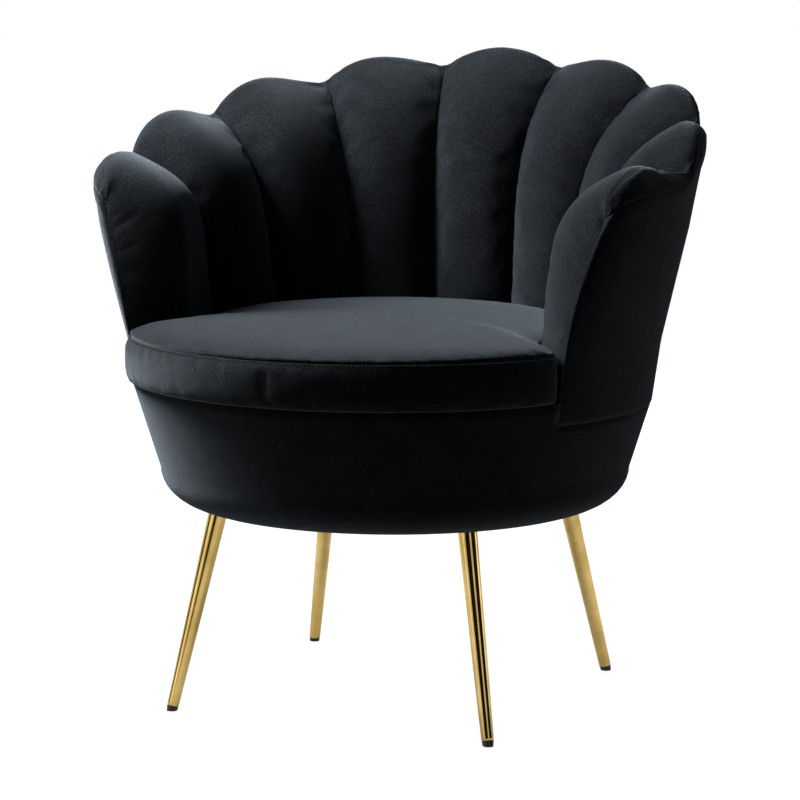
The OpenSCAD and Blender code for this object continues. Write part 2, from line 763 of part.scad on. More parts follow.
function cushion_ring(share, inset, out, z) =
    [for (p = outline()) polar(p[0], p[1] * share - inset + out * p[2], z)];
function stack_faces(rows, n) =
    concat(ring_faces(rows, n),
           [for (i = [0:n - 1]) [rows * n, (i + 1) % n, i]],
           [for (i = [0:n - 1]) [rows * n + 1, (rows - 1) * n + i, (rows - 1) * n + (i + 1) % n]]);
module stack(rings, low, top) {
    polyhedron(points = concat(flat(rings), [[0, tub_y, low], [0, tub_y, top]]),
               faces = stack_faces(len(rings), len(rings[0])));
}
seam_inset = 1.5;
seam_z = deck_z + boxing_h;
// Rings of the boxing, as shares of its height, of the seam's inset and of its bulge, then rings
// of the crown, as shares of the radius and of the crown's height
boxing_shares = [[0, 4, 0], [0.03, 1, 0], [0.09, 0, 0.4], [0.25, 0, 0.8], [0.5, 0, 1],
                 [0.75, 0, 0.8], [0.94, 0, 0.4], [1, 1, 0]];
crown_shares = [[1, 0.14], [0.97, 0.32], [0.9, 0.56], [0.76, 0.79], [0.52, 0.94], [0.25, 0.99]];
module cushion_solid() {
    rings = concat(
        [for (p = boxing_shares)
            cushion_ring(1, p[1] * seam_inset, p[2] * boxing_bulge, mix(deck_z, seam_z, p[0]))],
        [for (p = crown_shares) cushion_ring(p[0], 2 * seam_inset, 0, seam_z + p[1] * crown_h)]);
    stack(rings, deck_z, seam_z + crown_h);
}
// The foam: its radius and height, as shares of the crown's height over its shoulder
core_crown_shares = [[0.9, 0], [0.5, 0.25]];
core_top_share = 0.3;
core_shoulder_share = 0.56;
module cushion_core(inset) {
    low = deck_z + inset / 2;
    top = seam_z + crown_h * core_shoulder_share - inset;
    rings = concat(
        [cushion_ring(1, inset, 0, low), cushion_ring(1, inset, 0, top - inset)],
        [for (p = core_crown_shares) cushion_ring(p[0], inset, 0, top + p[1] * crown_h)]);
    stack(rings, low, top + core_top_share * crown_h);
}
module cushion_cover() {
    color(velvet)
        difference() {
            cushion_solid();
            cushion_core(foam_inset);
        }
}
module cushion_foam() {
    color(foam) cushion_core(foam_inset + slip);
}

// Zip across the rear of the boxing, and its tabless slider
zip_r = cushion_rear_r + slip;
zip_mid_z = deck_z + boxing_h / 2;
module arc_band(r, t, h, z, from, to) {
    translate([0, tub_y, z - h / 2])
        rotate([0, 0, 90 - to])
            rotate_extrude(angle = to - from, $fn = 96)
                translate([r, 0]) square([t, h]);
}
module cushion_zip() {
    color(black) arc_band(zip_r, zip_t, zip_w, zip_mid_z, -zip_angle, zip_angle);
}
slider_angle = slider_l / cushion_rear_r * 180 / PI;
module zip_slider() {
    color(steel)
        arc_band(zip_r + zip_t + slip / 2, slider_t, slider_w, zip_mid_z, zip_angle - slider_angle, zip_angle);
}

module leg_front_left() leg(-1, -1);
module leg_front_right() leg(1, -1);
module leg_rear_left() leg(-1, 1);
module leg_rear_right() leg(1, 1);
module foot_cap_front_left() foot_cap(-1, -1);
module foot_cap_front_right() foot_cap(1, -1);
module foot_cap_rear_left() foot_cap(-1, 1);
module foot_cap_rear_right() foot_cap(1, 1);
module webbing_long_1() webbing(1, false);
module webbing_long_2() webbing(2, false);
module webbing_long_3() webbing(3, false);
module webbing_long_4() webbing(4, false);
module webbing_cross_1() webbing(1, true);
module webbing_cross_2() webbing(2, true);
module webbing_cross_3() webbing(3, true);
module webbing_cross_4() webbing(4, true);
module back_rib_1() back_rib(1);
module back_rib_2() back_rib(2);
module back_rib_3() back_rib(3);
module back_rib_4() back_rib(4);
module back_rib_5() back_rib(5);
module back_rib_6() back_rib(6);
module back_rib_7() back_rib(7);
module back_rib_8() back_rib(8);
module arm_post_left() arm_post(-1);
module arm_post_right() arm_post(1);
module channel_1() channel(1);
module channel_2() channel(2);
module channel_3() channel(3);
module channel_4() channel(4);
module channel_5() channel(5);
module channel_6() channel(6);
module channel_7() channel(7);
module channel_8() channel(8);
module channel_9() channel(9);

base_board();
frame_posts();
post_screws();
seat_ring();
drum_panel();
base_wadding();
base_cover();
dust_cover();
dust_staples();
leg_plates();
leg_screws();
leg_front_left();
leg_front_right();
leg_rear_left();
leg_rear_right();
foot_cap_front_left();
foot_cap_front_right();
foot_cap_rear_left();
foot_cap_rear_right();
webbing_long_1();
webbing_long_2();
webbing_long_3();
webbing_long_4();
webbing_cross_1();
webbing_cross_2();
webbing_cross_3();
webbing_cross_4();
webbing_staples();
deck_pad();
deck_cover();
back_rib_1();
back_rib_2();
back_rib_3();
back_rib_4();
back_rib_5();
back_rib_6();
back_rib_7();
back_rib_8();
arm_post_left();
arm_post_right();
rib_screws();
inner_panel();
outer_panel();
outer_cover();
channel_1();
channel_2();
channel_3();
channel_4();
channel_5();
channel_6();
channel_7();
channel_8();
channel_9();
channel_foams();
cushion_cover();
cushion_foam();
cushion_zip();
zip_slider();
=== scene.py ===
"""Looks of a scallop-back tub chair: dark velvet over nine sewn back channels, a loose round
seat cushion, a drum base and four splayed legs of brass-plated tube. Lengths are in millimetres
until a vertex is placed, and the front faces -Y."""

import math

import bmesh
import bpy
from mathutils import Matrix, Vector, noise


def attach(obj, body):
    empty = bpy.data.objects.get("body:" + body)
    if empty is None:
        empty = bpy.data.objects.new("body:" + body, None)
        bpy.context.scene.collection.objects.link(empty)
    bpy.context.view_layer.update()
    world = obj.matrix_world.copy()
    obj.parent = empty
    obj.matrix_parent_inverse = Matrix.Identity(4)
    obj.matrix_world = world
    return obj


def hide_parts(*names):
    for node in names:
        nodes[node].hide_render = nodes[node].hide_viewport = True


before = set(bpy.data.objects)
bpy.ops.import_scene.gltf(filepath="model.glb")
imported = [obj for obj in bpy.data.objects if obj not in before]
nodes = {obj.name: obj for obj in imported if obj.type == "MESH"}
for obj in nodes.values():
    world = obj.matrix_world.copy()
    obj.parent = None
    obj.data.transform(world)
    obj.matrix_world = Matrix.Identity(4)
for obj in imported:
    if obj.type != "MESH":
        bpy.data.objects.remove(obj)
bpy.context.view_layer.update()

MM = 0.001

# Sizes of the tub, the same as the frame's: heights of the crests and of the dips between them,
# then radii about the tub's middle, and the heights of the hip, the deck and the seat's side
CREST_MID_Z, CREST_SIDE_Z = 788, 667
DIP_MID_Z, DIP_SIDE_Z = 767, 645
RIM_R, HIP_R, SEAT_R = 385, 315, 278
HIP_Z, DECK_Z, SEAT_Z, WALL_TOP_Z = 372, 400, 450, 745
TUB_SHIFT, BASE_Y = 20, -13.5
TUB_Y = BASE_Y - TUB_SHIFT
CREST_ROUND, ARM_ROUND, DIP_ROUND = 16, 30, 4
CHANNEL_BULGE, ARM_BULGE = 21.5, 29
# The wall's lean, as shares of its height and of the way out from the hip to the rim
WALL_SHARES = [(0, 0), (0.2, 0.17), (0.57, 0.66), (0.82, 0.92), (0.93, 0.985), (1, 1)]
# For the channels from the middle one to the arm: how high the crest is, between the side's height
# and the middle's, and how far it stands out over the wall
CREST_SHARES = [1, 0.893, 0.678, 0.365, 0]
CREST_OUT, CREST_OUT_SHARES = 4, [0.75, 0.75, 1, 0.5, 0]
COVER_T, PAD_MIN, SLIP = 4, 6, 0.3

# Angles of the seams at the seat and at the rim, and of the arm's nose and front seam
PITCH_LOW, PITCH_TOP = 22, 24.3
NOSE_LOW, NOSE_TOP = 107.7, 99.5
FRONT_LOW, FRONT_TOP = 116.7, 111
MIDDLE, ARM_K = 5, 4
NOSE_TOP_Z = 610

# How a channel is stuffed: where its crest's arc starts in the middle and on the arm, how deep
# its seams lie and over what share of its half width, and the powers that shape it. A higher
# lean keeps its face upright for longer, and a lower fullness makes it fuller at its seams.
START_MID, START_ARM = 50, 66
GROOVE, GROOVE_WIDTH = 5, 0.03
LEAN_MID, LEAN_ARM, LEAN_ARM_FACE = 4.2, 6, 3
FACE_FULLNESS, EDGE_FULLNESS, CREST_FULLNESS, ARM_CREST_FULLNESS = 0.7, 0.9, 1.1, 0.8
NOSE_FULLNESS = 0.8

# Base, cushion and legs
BASE_Z, BASE_LOW_R, EDGE_H, EDGE_W, LIP_W, BASE_SKIN = 243, 289, 46, 58, 20, 3
CUSHION_FRONT_R, CUSHION_REAR_R = 319, 250
BOXING_H, CROWN_H, BOXING_BULGE = 54, 24, 2
SEAM_Z = DECK_Z + BOXING_H
LEG_TOP, LEG_TOP_Z, LEAN = (160.86, 159.18), 253, (46.2, 44.8)
LEG_TOP_D, LEG_LOW_D, LEG_WALL, CAP_H = 23.6, 14.6, 1.5, 6.5

# Cloth of the deck, webbing, dust cloth and zip, with the zip's coils
DECK_R, DECK_BASE_R = SEAT_R + PAD_MIN, HIP_R - BASE_SKIN - SLIP
DECK_CLOTH_T, DECK_CLOTH_DROP, DECK_SLACK = 0.6, 0.45, 0.4
STRAP_W, STRAP_LENGTHS = 60, [402, 478, 478, 402]
ZIP_ANGLE, ZIP_T, ZIP_W = 60, 1.2, 22
COIL_PITCH, COIL_LENGTH, COIL_D, COIL_SPREAD = 1.6, 1.3, 1.9, 0.9

# Stitches, drawn larger than real ones so that they show
STITCH_PITCH, STITCH_LENGTH = 4.2, 2.9
TOP_THREAD, LOW_THREAD, ARM_THREAD, CREST_THREAD = 1.6, 1.4, 1.2, 1.3

# The arm's front seam, from the tub's middle: at the hip it stands on the base's circle, then a
# little behind the cushion's edge, and well inside the rim on top
FRONT_HIP_R = (TUB_SHIFT * math.cos(math.radians(FRONT_LOW))
               + math.sqrt(HIP_R ** 2 - (TUB_SHIFT * math.sin(math.radians(FRONT_LOW))) ** 2))
FRONT_LOW_R = CUSHION_FRONT_R - 3.3
FRONT_TOP_R = RIM_R - 40


def sind(angle):
    return math.sin(math.radians(angle))


def cosd(angle):
    return math.cos(math.radians(angle))


def clamp(value):
    return max(0.0, min(1.0, value))


def mix(a, b, share):
    return a + (b - a) * share


def lookup(x, table):
    """The value at x of a table of pairs, straight between its rows."""
    for (x0, y0), (x1, y1) in zip(table, table[1:]):
        if x <= x1:
            return mix(y0, y1, clamp((x - x0) / (x1 - x0)))
    return table[-1][1]


def polar(angle, r, z):
    """A point about the tub's middle. Angle 0 is the middle of the back."""
    return Vector((r * sind(angle), TUB_Y + r * cosd(angle), z))


# The tub's outline, by the same formulas as the frame's

def wall_r(angle, z):
    """The radius of the tub's outside, which leans out from the hip to the rim."""
    share = clamp((z - HIP_Z) / (WALL_TOP_Z - HIP_Z))
    return mix(HIP_R, RIM_R, lookup(share, WALL_SHARES)) + TUB_SHIFT * (1 - share) * cosd(angle)


def dip_z(angle):
    """The height of the dips between the crests."""
    return DIP_SIDE_Z + (DIP_MID_Z - DIP_SIDE_Z) * cosd(angle)


def swell(c, power):
    """How far a stuffed form stands out at share c of its half width: 1 in the middle, 0 at its
    seams."""
    return max(0.0, 1 - c * c) ** power


def rise(z, top):
    """The share of the way up from the seat to a height."""
    return clamp((z - SEAT_Z) / (top - SEAT_Z))


def front_r(z, top):
    """The radius of the arm's front seam at height z."""
    if z < SEAT_Z:
        return mix(FRONT_HIP_R, FRONT_LOW_R, clamp((z - HIP_Z) / (SEAT_Z - HIP_Z)))
    return mix(FRONT_LOW_R, FRONT_TOP_R, rise(z, top))


class Column:
    """One line up channel k, counted from the middle of the back, at share c of its half width.
    On the arm, c above 0 runs round the arm's nose to its front seam at 1."""

    def __init__(self, k, c):
        self.k, self.c = k, c
        self.nose = k == ARM_K and c > 0
        self.face_c = 0 if self.nose else c
        self.nose_cos = max(0.0, cosd(90 * c)) if self.nose else 1
        self.toward_arm = ((k + self.face_c / 2) / ARM_K) ** 2
        self.low_angle = self.level_angle(PITCH_LOW, NOSE_LOW, FRONT_LOW)
        self.top_angle = self.level_angle(PITCH_TOP, NOSE_TOP, FRONT_TOP)
        self.swell = swell(self.face_c, EDGE_FULLNESS)
        face = Column(k, 0) if self.nose else self
        arm = (k / ARM_K) ** 2
        self.round = mix(DIP_ROUND, mix(CREST_ROUND, ARM_ROUND, arm), self.swell)
        face_top = mix(dip_z(face.top_angle), mix(CREST_SIDE_Z, CREST_MID_Z, CREST_SHARES[k]),
                       swell(self.face_c, CREST_FULLNESS if k < ARM_K else ARM_CREST_FULLNESS))
        self.top_z = self.drop(face_top)
        self.edge_z = self.drop(face_top - self.round)
        self.start = mix(START_MID, START_ARM, self.toward_arm)
        self.inner_z = self.drop(face_top - self.round * (1 - sind(self.start)))
        self.out = CREST_OUT * CREST_OUT_SHARES[k] * self.swell
        self.face_edge_r = wall_r(face.top_angle, face_top - self.round) + self.out
        self.face_inner_r = self.face_edge_r - self.round * (1 + cosd(self.start))
        self.fill = self.nose_cos ** NOSE_FULLNESS
        self.edge_r = mix(FRONT_TOP_R, self.face_edge_r, self.nose_cos)
        self.inner_r = mix(FRONT_TOP_R, self.face_inner_r, self.fill)

    def level_angle(self, pitch, nose, front):
        """The column's angle at one level, from that level's pitch, nose and front seam."""
        if self.k < ARM_K:
            return pitch * (self.k + self.c / 2)
        if self.c <= 0:
            return mix(pitch * (ARM_K - 0.5), nose, 1 + self.c)
        return mix(nose, front, sind(90 * self.c))

    def drop(self, z):
        """Round the nose, the crest falls from height z to the top of the front seam."""
        return mix(NOSE_TOP_Z, z, self.nose_cos) if self.nose else z

    def angle(self, t):
        """The column's angle at share t of the way from the seat to the rim."""
        power = 1 if self.k < ARM_K else 2 + min(0, self.c)
        return mix(self.low_angle, self.top_angle, t ** power)

    def face(self, s):
        """The seat's side, at share s of the way from the deck to the crest's arc."""
        z = mix(DECK_Z + SLIP, self.inner_z, s)
        t = rise(z, self.inner_z)
        bulge = CHANNEL_BULGE if self.k < ARM_K else ARM_BULGE
        low = SEAT_R - bulge * swell(self.face_c, FACE_FULLNESS)
        lean = mix(LEAN_MID, LEAN_ARM, self.toward_arm)
        if self.k == ARM_K:
            lean += LEAN_ARM_FACE * clamp(-self.c) * (1 - self.c ** 8)
        r = mix(low, self.face_inner_r, t ** lean)
        r += GROOVE * math.exp((abs(self.face_c) - 1) / GROOVE_WIDTH) * (1 - s ** 6)
        if self.nose:
            r = mix(front_r(z, self.inner_z) - SLIP, r, self.fill)
        return polar(self.angle(t), r, z)

    def crest(self, arc):
        """The rounded crest, at an angle from the seat's side over to 180 at the back."""
        half = (self.edge_r - self.inner_r) / (1 + cosd(self.start))
        z = self.edge_z + (self.top_z - self.edge_z) * sind(arc) + SLIP
        return polar(self.top_angle, self.edge_r - half * (1 + cosd(arc)), z)

    def back(self, share):
        """The pad's flat back, from the deck up to the crest's outer edge."""
        z = mix(DECK_Z + SLIP, self.edge_z, share)
        a = self.angle(rise(z, self.edge_z))
        top = dip_z(a)
        pad = mix(SEAT_R, wall_r(a, top) - 2 * DIP_ROUND, rise(z, top) ** LEAN_MID) + PAD_MIN
        r = min(pad, wall_r(a, z) - COVER_T - SLIP)
        if self.nose:
            inside = mix(FRONT_LOW, FRONT_TOP, rise(z, NOSE_TOP_Z) ** 2) - 1
            front = polar(inside, front_r(z, NOSE_TOP_Z) - COVER_T, z)
            return polar(a, r, z).lerp(front, sind(90 * self.c))
        return polar(a, r, z)

    def outside(self, s):
        """The outside of the cover, from the hip up to the crest's outer edge."""
        z = mix(HIP_Z + SLIP, self.edge_z, s)
        a = self.angle(rise(z, self.edge_z))
        r = wall_r(a, z) + self.out * s ** 8
        if self.nose:
            r = mix(front_r(z, NOSE_TOP_Z), r, self.nose_cos)
        return polar(a, mix(r, self.edge_r, clamp((s - 0.9) / 0.1)), z)


# Mesh helpers

# Vertices closer than this are one
MERGE = 0.02 * MM


def make_object(mesh, name, material):
    """Makes an object of a bmesh, in one material."""
    data = bpy.data.meshes.new(name)
    mesh.to_mesh(data)
    mesh.free()
    made = bpy.data.objects.new(name, data)
    bpy.context.scene.collection.objects.link(made)
    data.materials.append(material)
    return made


def finish_piece(mesh, name, material, body, replaced=(), slot=None, smooth=True):
    """Makes a piece of a bmesh, with its doubles merged and its faces turned outwards, and says
    which body it rides on and which nodes it stands for. The slot is not used."""
    bmesh.ops.remove_doubles(mesh, verts=mesh.verts, dist=MERGE)
    bmesh.ops.recalc_face_normals(mesh, faces=mesh.faces)
    for face in mesh.faces:
        face.smooth = smooth
    piece = make_object(mesh, name, material)
    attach(piece, body)
    if replaced:
        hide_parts(*replaced)
    return piece


def thicken(piece, thickness):
    """Gives a cover its thickness, inwards from its outer face."""
    wall = piece.modifiers.new("thickness", "SOLIDIFY")
    wall.thickness = thickness * MM
    wall.offset = -1


def grid_over(columns, rows, place, sewn=None):
    """A grid whose vertices go where place(u, v) says, u and v from 0 to 1. Those for which
    sewn(u, v) is true stay where they are when the piece is stuffed."""
    mesh = bmesh.new()
    bmesh.ops.create_grid(mesh, x_segments=columns, y_segments=rows, size=0.5)
    mark = mesh.verts.layers.float.new("sewn")
    for vert in mesh.verts:
        u, v = vert.co.x + 0.5, vert.co.y + 0.5
        vert[mark] = 1.0 if sewn and sewn(u, v) else 0.0
        vert.co = place(u, v) * MM
    return mesh


def settle_order(mesh):
    """Puts the edges and faces in the order of their vertices. Extruding leaves them in another
    order each run, and the cloth would then crease differently."""
    mesh.verts.index_update()
    for parts in (mesh.edges, mesh.faces):
        in_order = sorted(parts, key=lambda part: sorted(vert.index for vert in part.verts))
        for number, part in enumerate(in_order):
            part.index = number
        parts.sort()


def backed_grid(columns, rows, front, back, sewn):
    """A closed pad between two grids, front(u, v) and back(u, v), joined round their edges. Its
    back is sewn down."""
    def key(point):
        return tuple(round(x, 7) for x in point)
    mesh = grid_over(columns, rows, front, sewn)
    behind = grid_over(columns, rows, back)
    backs = {key(near.co): far.co.copy() for near, far in zip(mesh.verts, behind.verts)}
    behind.free()
    made = bmesh.ops.extrude_face_region(mesh, geom=list(mesh.faces), use_keep_orig=True)
    mark = mesh.verts.layers.float["sewn"]
    for vert in made["geom"]:
        if isinstance(vert, bmesh.types.BMVert):
            vert.co = backs[key(vert.co)]
            vert[mark] = 1.0
    settle_order(mesh)
    return mesh


# The simulation's frames and pressure, and the most that it may move a point, in millimetres
FRAMES, PRESSURE, SWELL_MAX = 20, 4.0, 2.4
STUFFED = []


def stuff(piece):
    """Makes a closed piece ready to be blown out from inside, as cloth sewn down at its seams."""
    group = piece.vertex_groups.new(name="sewn")
    marks = piece.data.attributes["sewn"].data
    group.add([i for i, mark in enumerate(marks) if mark.value > 0.5], 1.0, "REPLACE")
    cloth = piece.modifiers.new("stuffing", "CLOTH")
    cloth.settings.quality = 4
    cloth.settings.tension_stiffness = cloth.settings.compression_stiffness = 15
    cloth.settings.shear_stiffness = 5
    cloth.settings.bending_stiffness = 0.3
    cloth.settings.vertex_group_mass = "sewn"
    cloth.settings.use_pressure = True
    cloth.settings.uniform_pressure_force = PRESSURE
    cloth.settings.shrink_min = -0.012
    cloth.settings.effector_weights.gravity = 0
    cloth.collision_settings.use_collision = False
    STUFFED.append(piece)


def blow_out():
    """Runs the cloth of all stuffed pieces at once, moves each point to where it went, within the
    cap, and takes the simulation off again."""
    if not STUFFED:
        return
    for frame_number in range(1, FRAMES + 1):
        bpy.context.scene.frame_set(frame_number)
    graph = bpy.context.evaluated_depsgraph_get()
    cap = SWELL_MAX * MM
    for piece in STUFFED:
        blown = piece.evaluated_get(graph).to_mesh()
        moved = [vert.co.copy() for vert in blown.vertices]
        piece.evaluated_get(graph).to_mesh_clear()
        for vert, place in zip(piece.data.vertices, moved):
            way = place - vert.co
            far = way.length
            if far > 0:
                vert.co += way * (cap * math.tanh(far / cap) / far)
    for piece in STUFFED:
        piece.modifiers.remove(piece.modifiers["stuffing"])
    bpy.context.scene.frame_set(1)


def across(u):
    """The share of a channel's half width, from -1 to 1, with its columns closer together towards
    its seams."""
    return math.sin((u - 0.5) * math.pi)


# Colours and materials

def srgb(code):
    """A hex colour as the linear colour that a shader takes."""
    parts = [int(code[i:i + 2], 16) / 255 for i in (1, 3, 5)]
    return [x / 12.92 if x <= 0.04045 else ((x + 0.055) / 1.055) ** 2.4 for x in parts] + [1]


def add(tree, kind, links=None, **settings):
    """Adds a node, with its settings and its inputs as values or links, and returns it."""
    made = tree.nodes.new(kind)
    for name, value in settings.items():
        setattr(made, name, value)
    for name, value in (links or {}).items():
        socket = made.inputs[name]
        if isinstance(value, bpy.types.NodeSocket):
            tree.links.new(value, socket)
        else:
            socket.default_value = value
    return made


def new_material(name):
    material = bpy.data.materials.new(name)
    material.use_nodes = True
    material.node_tree.nodes.clear()
    return material, material.node_tree


def ramp_colours(ramp, stops):
    """Sets a colour ramp's stops, as pairs of place and hex colour."""
    elements = ramp.color_ramp.elements
    while len(elements) < len(stops):
        elements.new(0.5)
    for element, (place, code) in zip(elements, stops):
        element.position = place
        element.color = srgb(code)


def surface(tree, colour, bump=None, **values):
    """Ends a material: one Principled shader with a colour, a bump and its other inputs."""
    shader = add(tree, "ShaderNodeBsdfPrincipled", {"Base Color": colour, **values})
    if bump:
        tree.links.new(bump, shader.inputs["Normal"])
    add(tree, "ShaderNodeOutputMaterial", {"Surface": shader.outputs[0]})


def velvet():
    """Polyester velvet, woven and sheared to a short pile. It swallows light seen from straight
    on and shows a grey bloom at a slant. The pile makes a fine grain, and its colour carries
    painted sheen: lighter from tuft to tuft and in soft areas where it is brushed over."""
    material, tree = new_material("sheared_polyester_velvet")
    where = add(tree, "ShaderNodeTexCoord").outputs["Object"]
    # Painted sheen of brushed pile, in soft areas 45 mm across
    brushed_sheen = add(tree, "ShaderNodeTexNoise", {"Vector": where, "Scale": 1 / 0.045, "Detail": 3.0,
                                               "Roughness": 0.55, "Distortion": 0.6})
    # Tufts are 0.4 mm apart, drawn 2 mm across so that they show
    tufts = add(tree, "ShaderNodeTexNoise", {"Vector": where, "Scale": 1 / 0.002, "Detail": 2.0,
                                             "Roughness": 0.7})
    # Painted sheen, lighter from tuft to tuft and where the pile leans over, and the pile's bump
    pile = add(tree, "ShaderNodeMath", {0: brushed_sheen.outputs["Fac"], 1: 0.35,
                                        2: tufts.outputs["Fac"]}, operation="MULTIPLY_ADD")
    # Dark velvet, lighter where the painted sheen is strong
    colour = add(tree, "ShaderNodeValToRGB", {"Fac": pile.outputs[0]})
    ramp_colours(colour, [(0.5, "#050608"), (0.68, "#111317"), (0.86, "#2a2e35")])
    bump = add(tree, "ShaderNodeBump", {"Height": pile.outputs[0], "Strength": 0.9,
                                        "Distance": 0.0011})
    surface(tree, colour.outputs["Color"], bump.outputs["Normal"], Roughness=0.9,
            **{"Specular IOR Level": 0.03, "Sheen Weight": 0.58, "Sheen Roughness": 0.5,
               "Sheen Tint": srgb("#b2bfca")})
    return material


def brass_plate():
    """Steel tube, brass plated and polished: a warm mirror with faint draw lines along it."""
    material, tree = new_material("polished_brass_plating")
    where = add(tree, "ShaderNodeTexCoord").outputs["Object"]
    clouds = add(tree, "ShaderNodeTexNoise", {"Vector": where, "Scale": 1 / 0.03, "Detail": 4.0})
    colour = add(tree, "ShaderNodeValToRGB", {"Fac": clouds.outputs["Fac"]})
    ramp_colours(colour, [(0.3, "#b3964f"), (0.7, "#cfb272")])
    # Draw lines 0.3 mm apart, drawn 1 mm wide, long along the tube
    stretched = add(tree, "ShaderNodeMapping", {"Vector": where, "Scale": (1.0, 1.0, 0.04)})
    lines = add(tree, "ShaderNodeTexNoise", {"Vector": stretched.outputs[0], "Scale": 1 / 0.001,
                                             "Detail": 1.0})
    rough = add(tree, "ShaderNodeMapRange", {"Value": lines.outputs["Fac"], "To Min": 0.06,
                                             "To Max": 0.14})
    surface(tree, colour.outputs["Color"], Roughness=rough.outputs[0], Metallic=1.0)
    return material


def speckled(name, stops, size, bump_mm, roughness, detail=4.0, **values):
    """A matt material whose colour and small relief come from one noise of a real grain size."""
    material, tree = new_material(name)
    where = add(tree, "ShaderNodeTexCoord").outputs["Object"]
    grain = add(tree, "ShaderNodeTexNoise", {"Vector": where, "Scale": 1 / (size * MM),
                                             "Detail": detail})
    colour = add(tree, "ShaderNodeValToRGB", {"Fac": grain.outputs["Fac"]})
    ramp_colours(colour, stops)
    bump = add(tree, "ShaderNodeBump", {"Height": grain.outputs["Fac"], "Strength": 0.5,
                                        "Distance": bump_mm * MM})
    surface(tree, colour.outputs["Color"], bump.outputs["Normal"], Roughness=roughness, **values)
    return material


# A wave texture's bands lie this far apart, in metres, at a scale of 1
WAVE = 2 / 6.3


def timber():
    """Sawn and sanded beech: pale bands of grain along the board."""
    material, tree = new_material("sanded_beech")
    where = add(tree, "ShaderNodeTexCoord").outputs["Object"]
    # Rings 8 mm apart, drawn out along Z
    drawn = add(tree, "ShaderNodeMapping", {"Vector": where, "Scale": (1.0, 1.0, 0.12)})
    rings = add(tree, "ShaderNodeTexWave", {"Vector": drawn.outputs[0], "Scale": WAVE / 0.008,
                                            "Distortion": 3.0, "Detail": 3.0})
    colour = add(tree, "ShaderNodeValToRGB", {"Fac": rings.outputs["Fac"]})
    ramp_colours(colour, [(0.2, "#c3a075"), (0.8, "#d6b98f")])
    bump = add(tree, "ShaderNodeBump", {"Height": rings.outputs["Fac"], "Strength": 0.2,
                                        "Distance": 0.1 * MM})
    surface(tree, colour.outputs["Color"], bump.outputs["Normal"], Roughness=0.6)
    return material


def woven(name, stops, pitch, roughness):
    """A plain-woven cloth or strap, its threads crossing at a pitch in millimetres."""
    material, tree = new_material(name)
    where = add(tree, "ShaderNodeTexCoord").outputs["Object"]
    warp = add(tree, "ShaderNodeTexWave", {"Vector": where, "Scale": WAVE / (pitch * MM)},
               bands_direction="X")
    weft = add(tree, "ShaderNodeTexWave", {"Vector": where, "Scale": WAVE / (pitch * MM)},
               bands_direction="Y")
    cross = add(tree, "ShaderNodeMath", {0: warp.outputs["Fac"], 1: weft.outputs["Fac"]},
                operation="MULTIPLY")
    colour = add(tree, "ShaderNodeValToRGB", {"Fac": cross.outputs[0]})
    ramp_colours(colour, stops)
    bump = add(tree, "ShaderNodeBump", {"Height": cross.outputs[0], "Strength": 0.4,
                                        "Distance": 0.3 * MM})
    surface(tree, colour.outputs["Color"], bump.outputs["Normal"], Roughness=roughness)
    return material


VELVET = velvet()
BRASS = brass_plate()
TIMBER = timber()
# Spun polyester thread, a little lighter than the velvet because it has no pile
THREAD = speckled("spun_polyester_thread", [(0.35, "#08080a"), (0.7, "#1a1b20")], 0.8, 0.1, 0.7)
# Moulded polyethylene, as foot caps are: satin black with a fine moulded texture
CAP = speckled("moulded_black_polyethylene", [(0.35, "#0b0b0c"), (0.7, "#161617")], 1.2, 0.05,
               0.42)
# Bent hardboard, brown and fibrous
BOARD = speckled("pressed_hardboard", [(0.3, "#8a6845"), (0.7, "#a98559")], 2.5, 0.15, 0.75)
# Steel, zinc plated: grey with a faint crystal bloom
STEEL = speckled("zinc_plated_steel", [(0.3, "#8f9296"), (0.7, "#b1b4b8")], 3.0, 0.02, 0.38,
                 Metallic=1.0)
# Open-cell polyurethane foam, cream, with 1 mm cells
FOAM = speckled("polyurethane_foam", [(0.3, "#d9cda2"), (0.7, "#efe6c4")], 1.0, 0.5, 0.95)
# Needled felt, grey with mixed fibres 2 mm long
FELT = speckled("needled_felt", [(0.3, "#76767a"), (0.7, "#a3a29c")], 2.0, 0.4, 0.98)
# Spun-bonded polypropylene under the base: thin, black, with a fibrous bloom
DUST = speckled("spunbonded_polypropylene", [(0.3, "#131416"), (0.7, "#25272b")], 1.5, 0.15,
                0.85)
# Plain-woven polyester that covers the deck, its threads drawn 2.4 mm apart so that they show
DECK = woven("plain_woven_deck_cloth", [(0.1, "#131417"), (0.8, "#2b2d33")], 2.4, 0.9)
# Elastic webbing, rubber under a polypropylene weave with ribs 4 mm apart
WEBBING = woven("elastic_rubber_webbing", [(0.1, "#1b1c1f"), (0.8, "#4a4338")], 4.0, 0.85)
# Woven polyester zip tape, its threads drawn 2 mm apart so that they show
TAPE = woven("woven_zip_tape", [(0.1, "#0d0d10"), (0.8, "#202127")], 2.0, 0.85)

NODE_MATERIALS = {
    "base_board": TIMBER, "frame_posts": TIMBER, "seat_ring": TIMBER, "arm_post_left": TIMBER,
    "arm_post_right": TIMBER, "drum_panel": BOARD, "inner_panel": BOARD, "outer_panel": BOARD,
    "post_screws": STEEL, "dust_staples": STEEL, "leg_plates": STEEL, "leg_screws": STEEL,
    "webbing_staples": STEEL, "rib_screws": STEEL,
}
NODE_MATERIALS.update({f"back_rib_{n}": TIMBER for n in range(1, 9)})


# The upholstery

CHANNEL_COLUMNS, CHANNEL_ROWS = 36, 72
# The share of a channel's rows that its face takes, before the crest, and that its back takes
FACE_SHARE, BACK_SHARE = 0.78, 0.96
# The shares of a channel's width and height at its edges that are held by its seams
HELD_SIDE, HELD_END = 0.03, 0.02
# The row of the arm's grid that its crest seam runs along, and how deep the seam sits
CREST_SEAM_ROW, CREST_SEAM_SINK = 62, 1.2


def sided(point, side):
    """A point on the side asked for: 1 leaves it on the right, -1 mirrors it to the left."""
    return Vector((side * point.x, point.y, point.z))


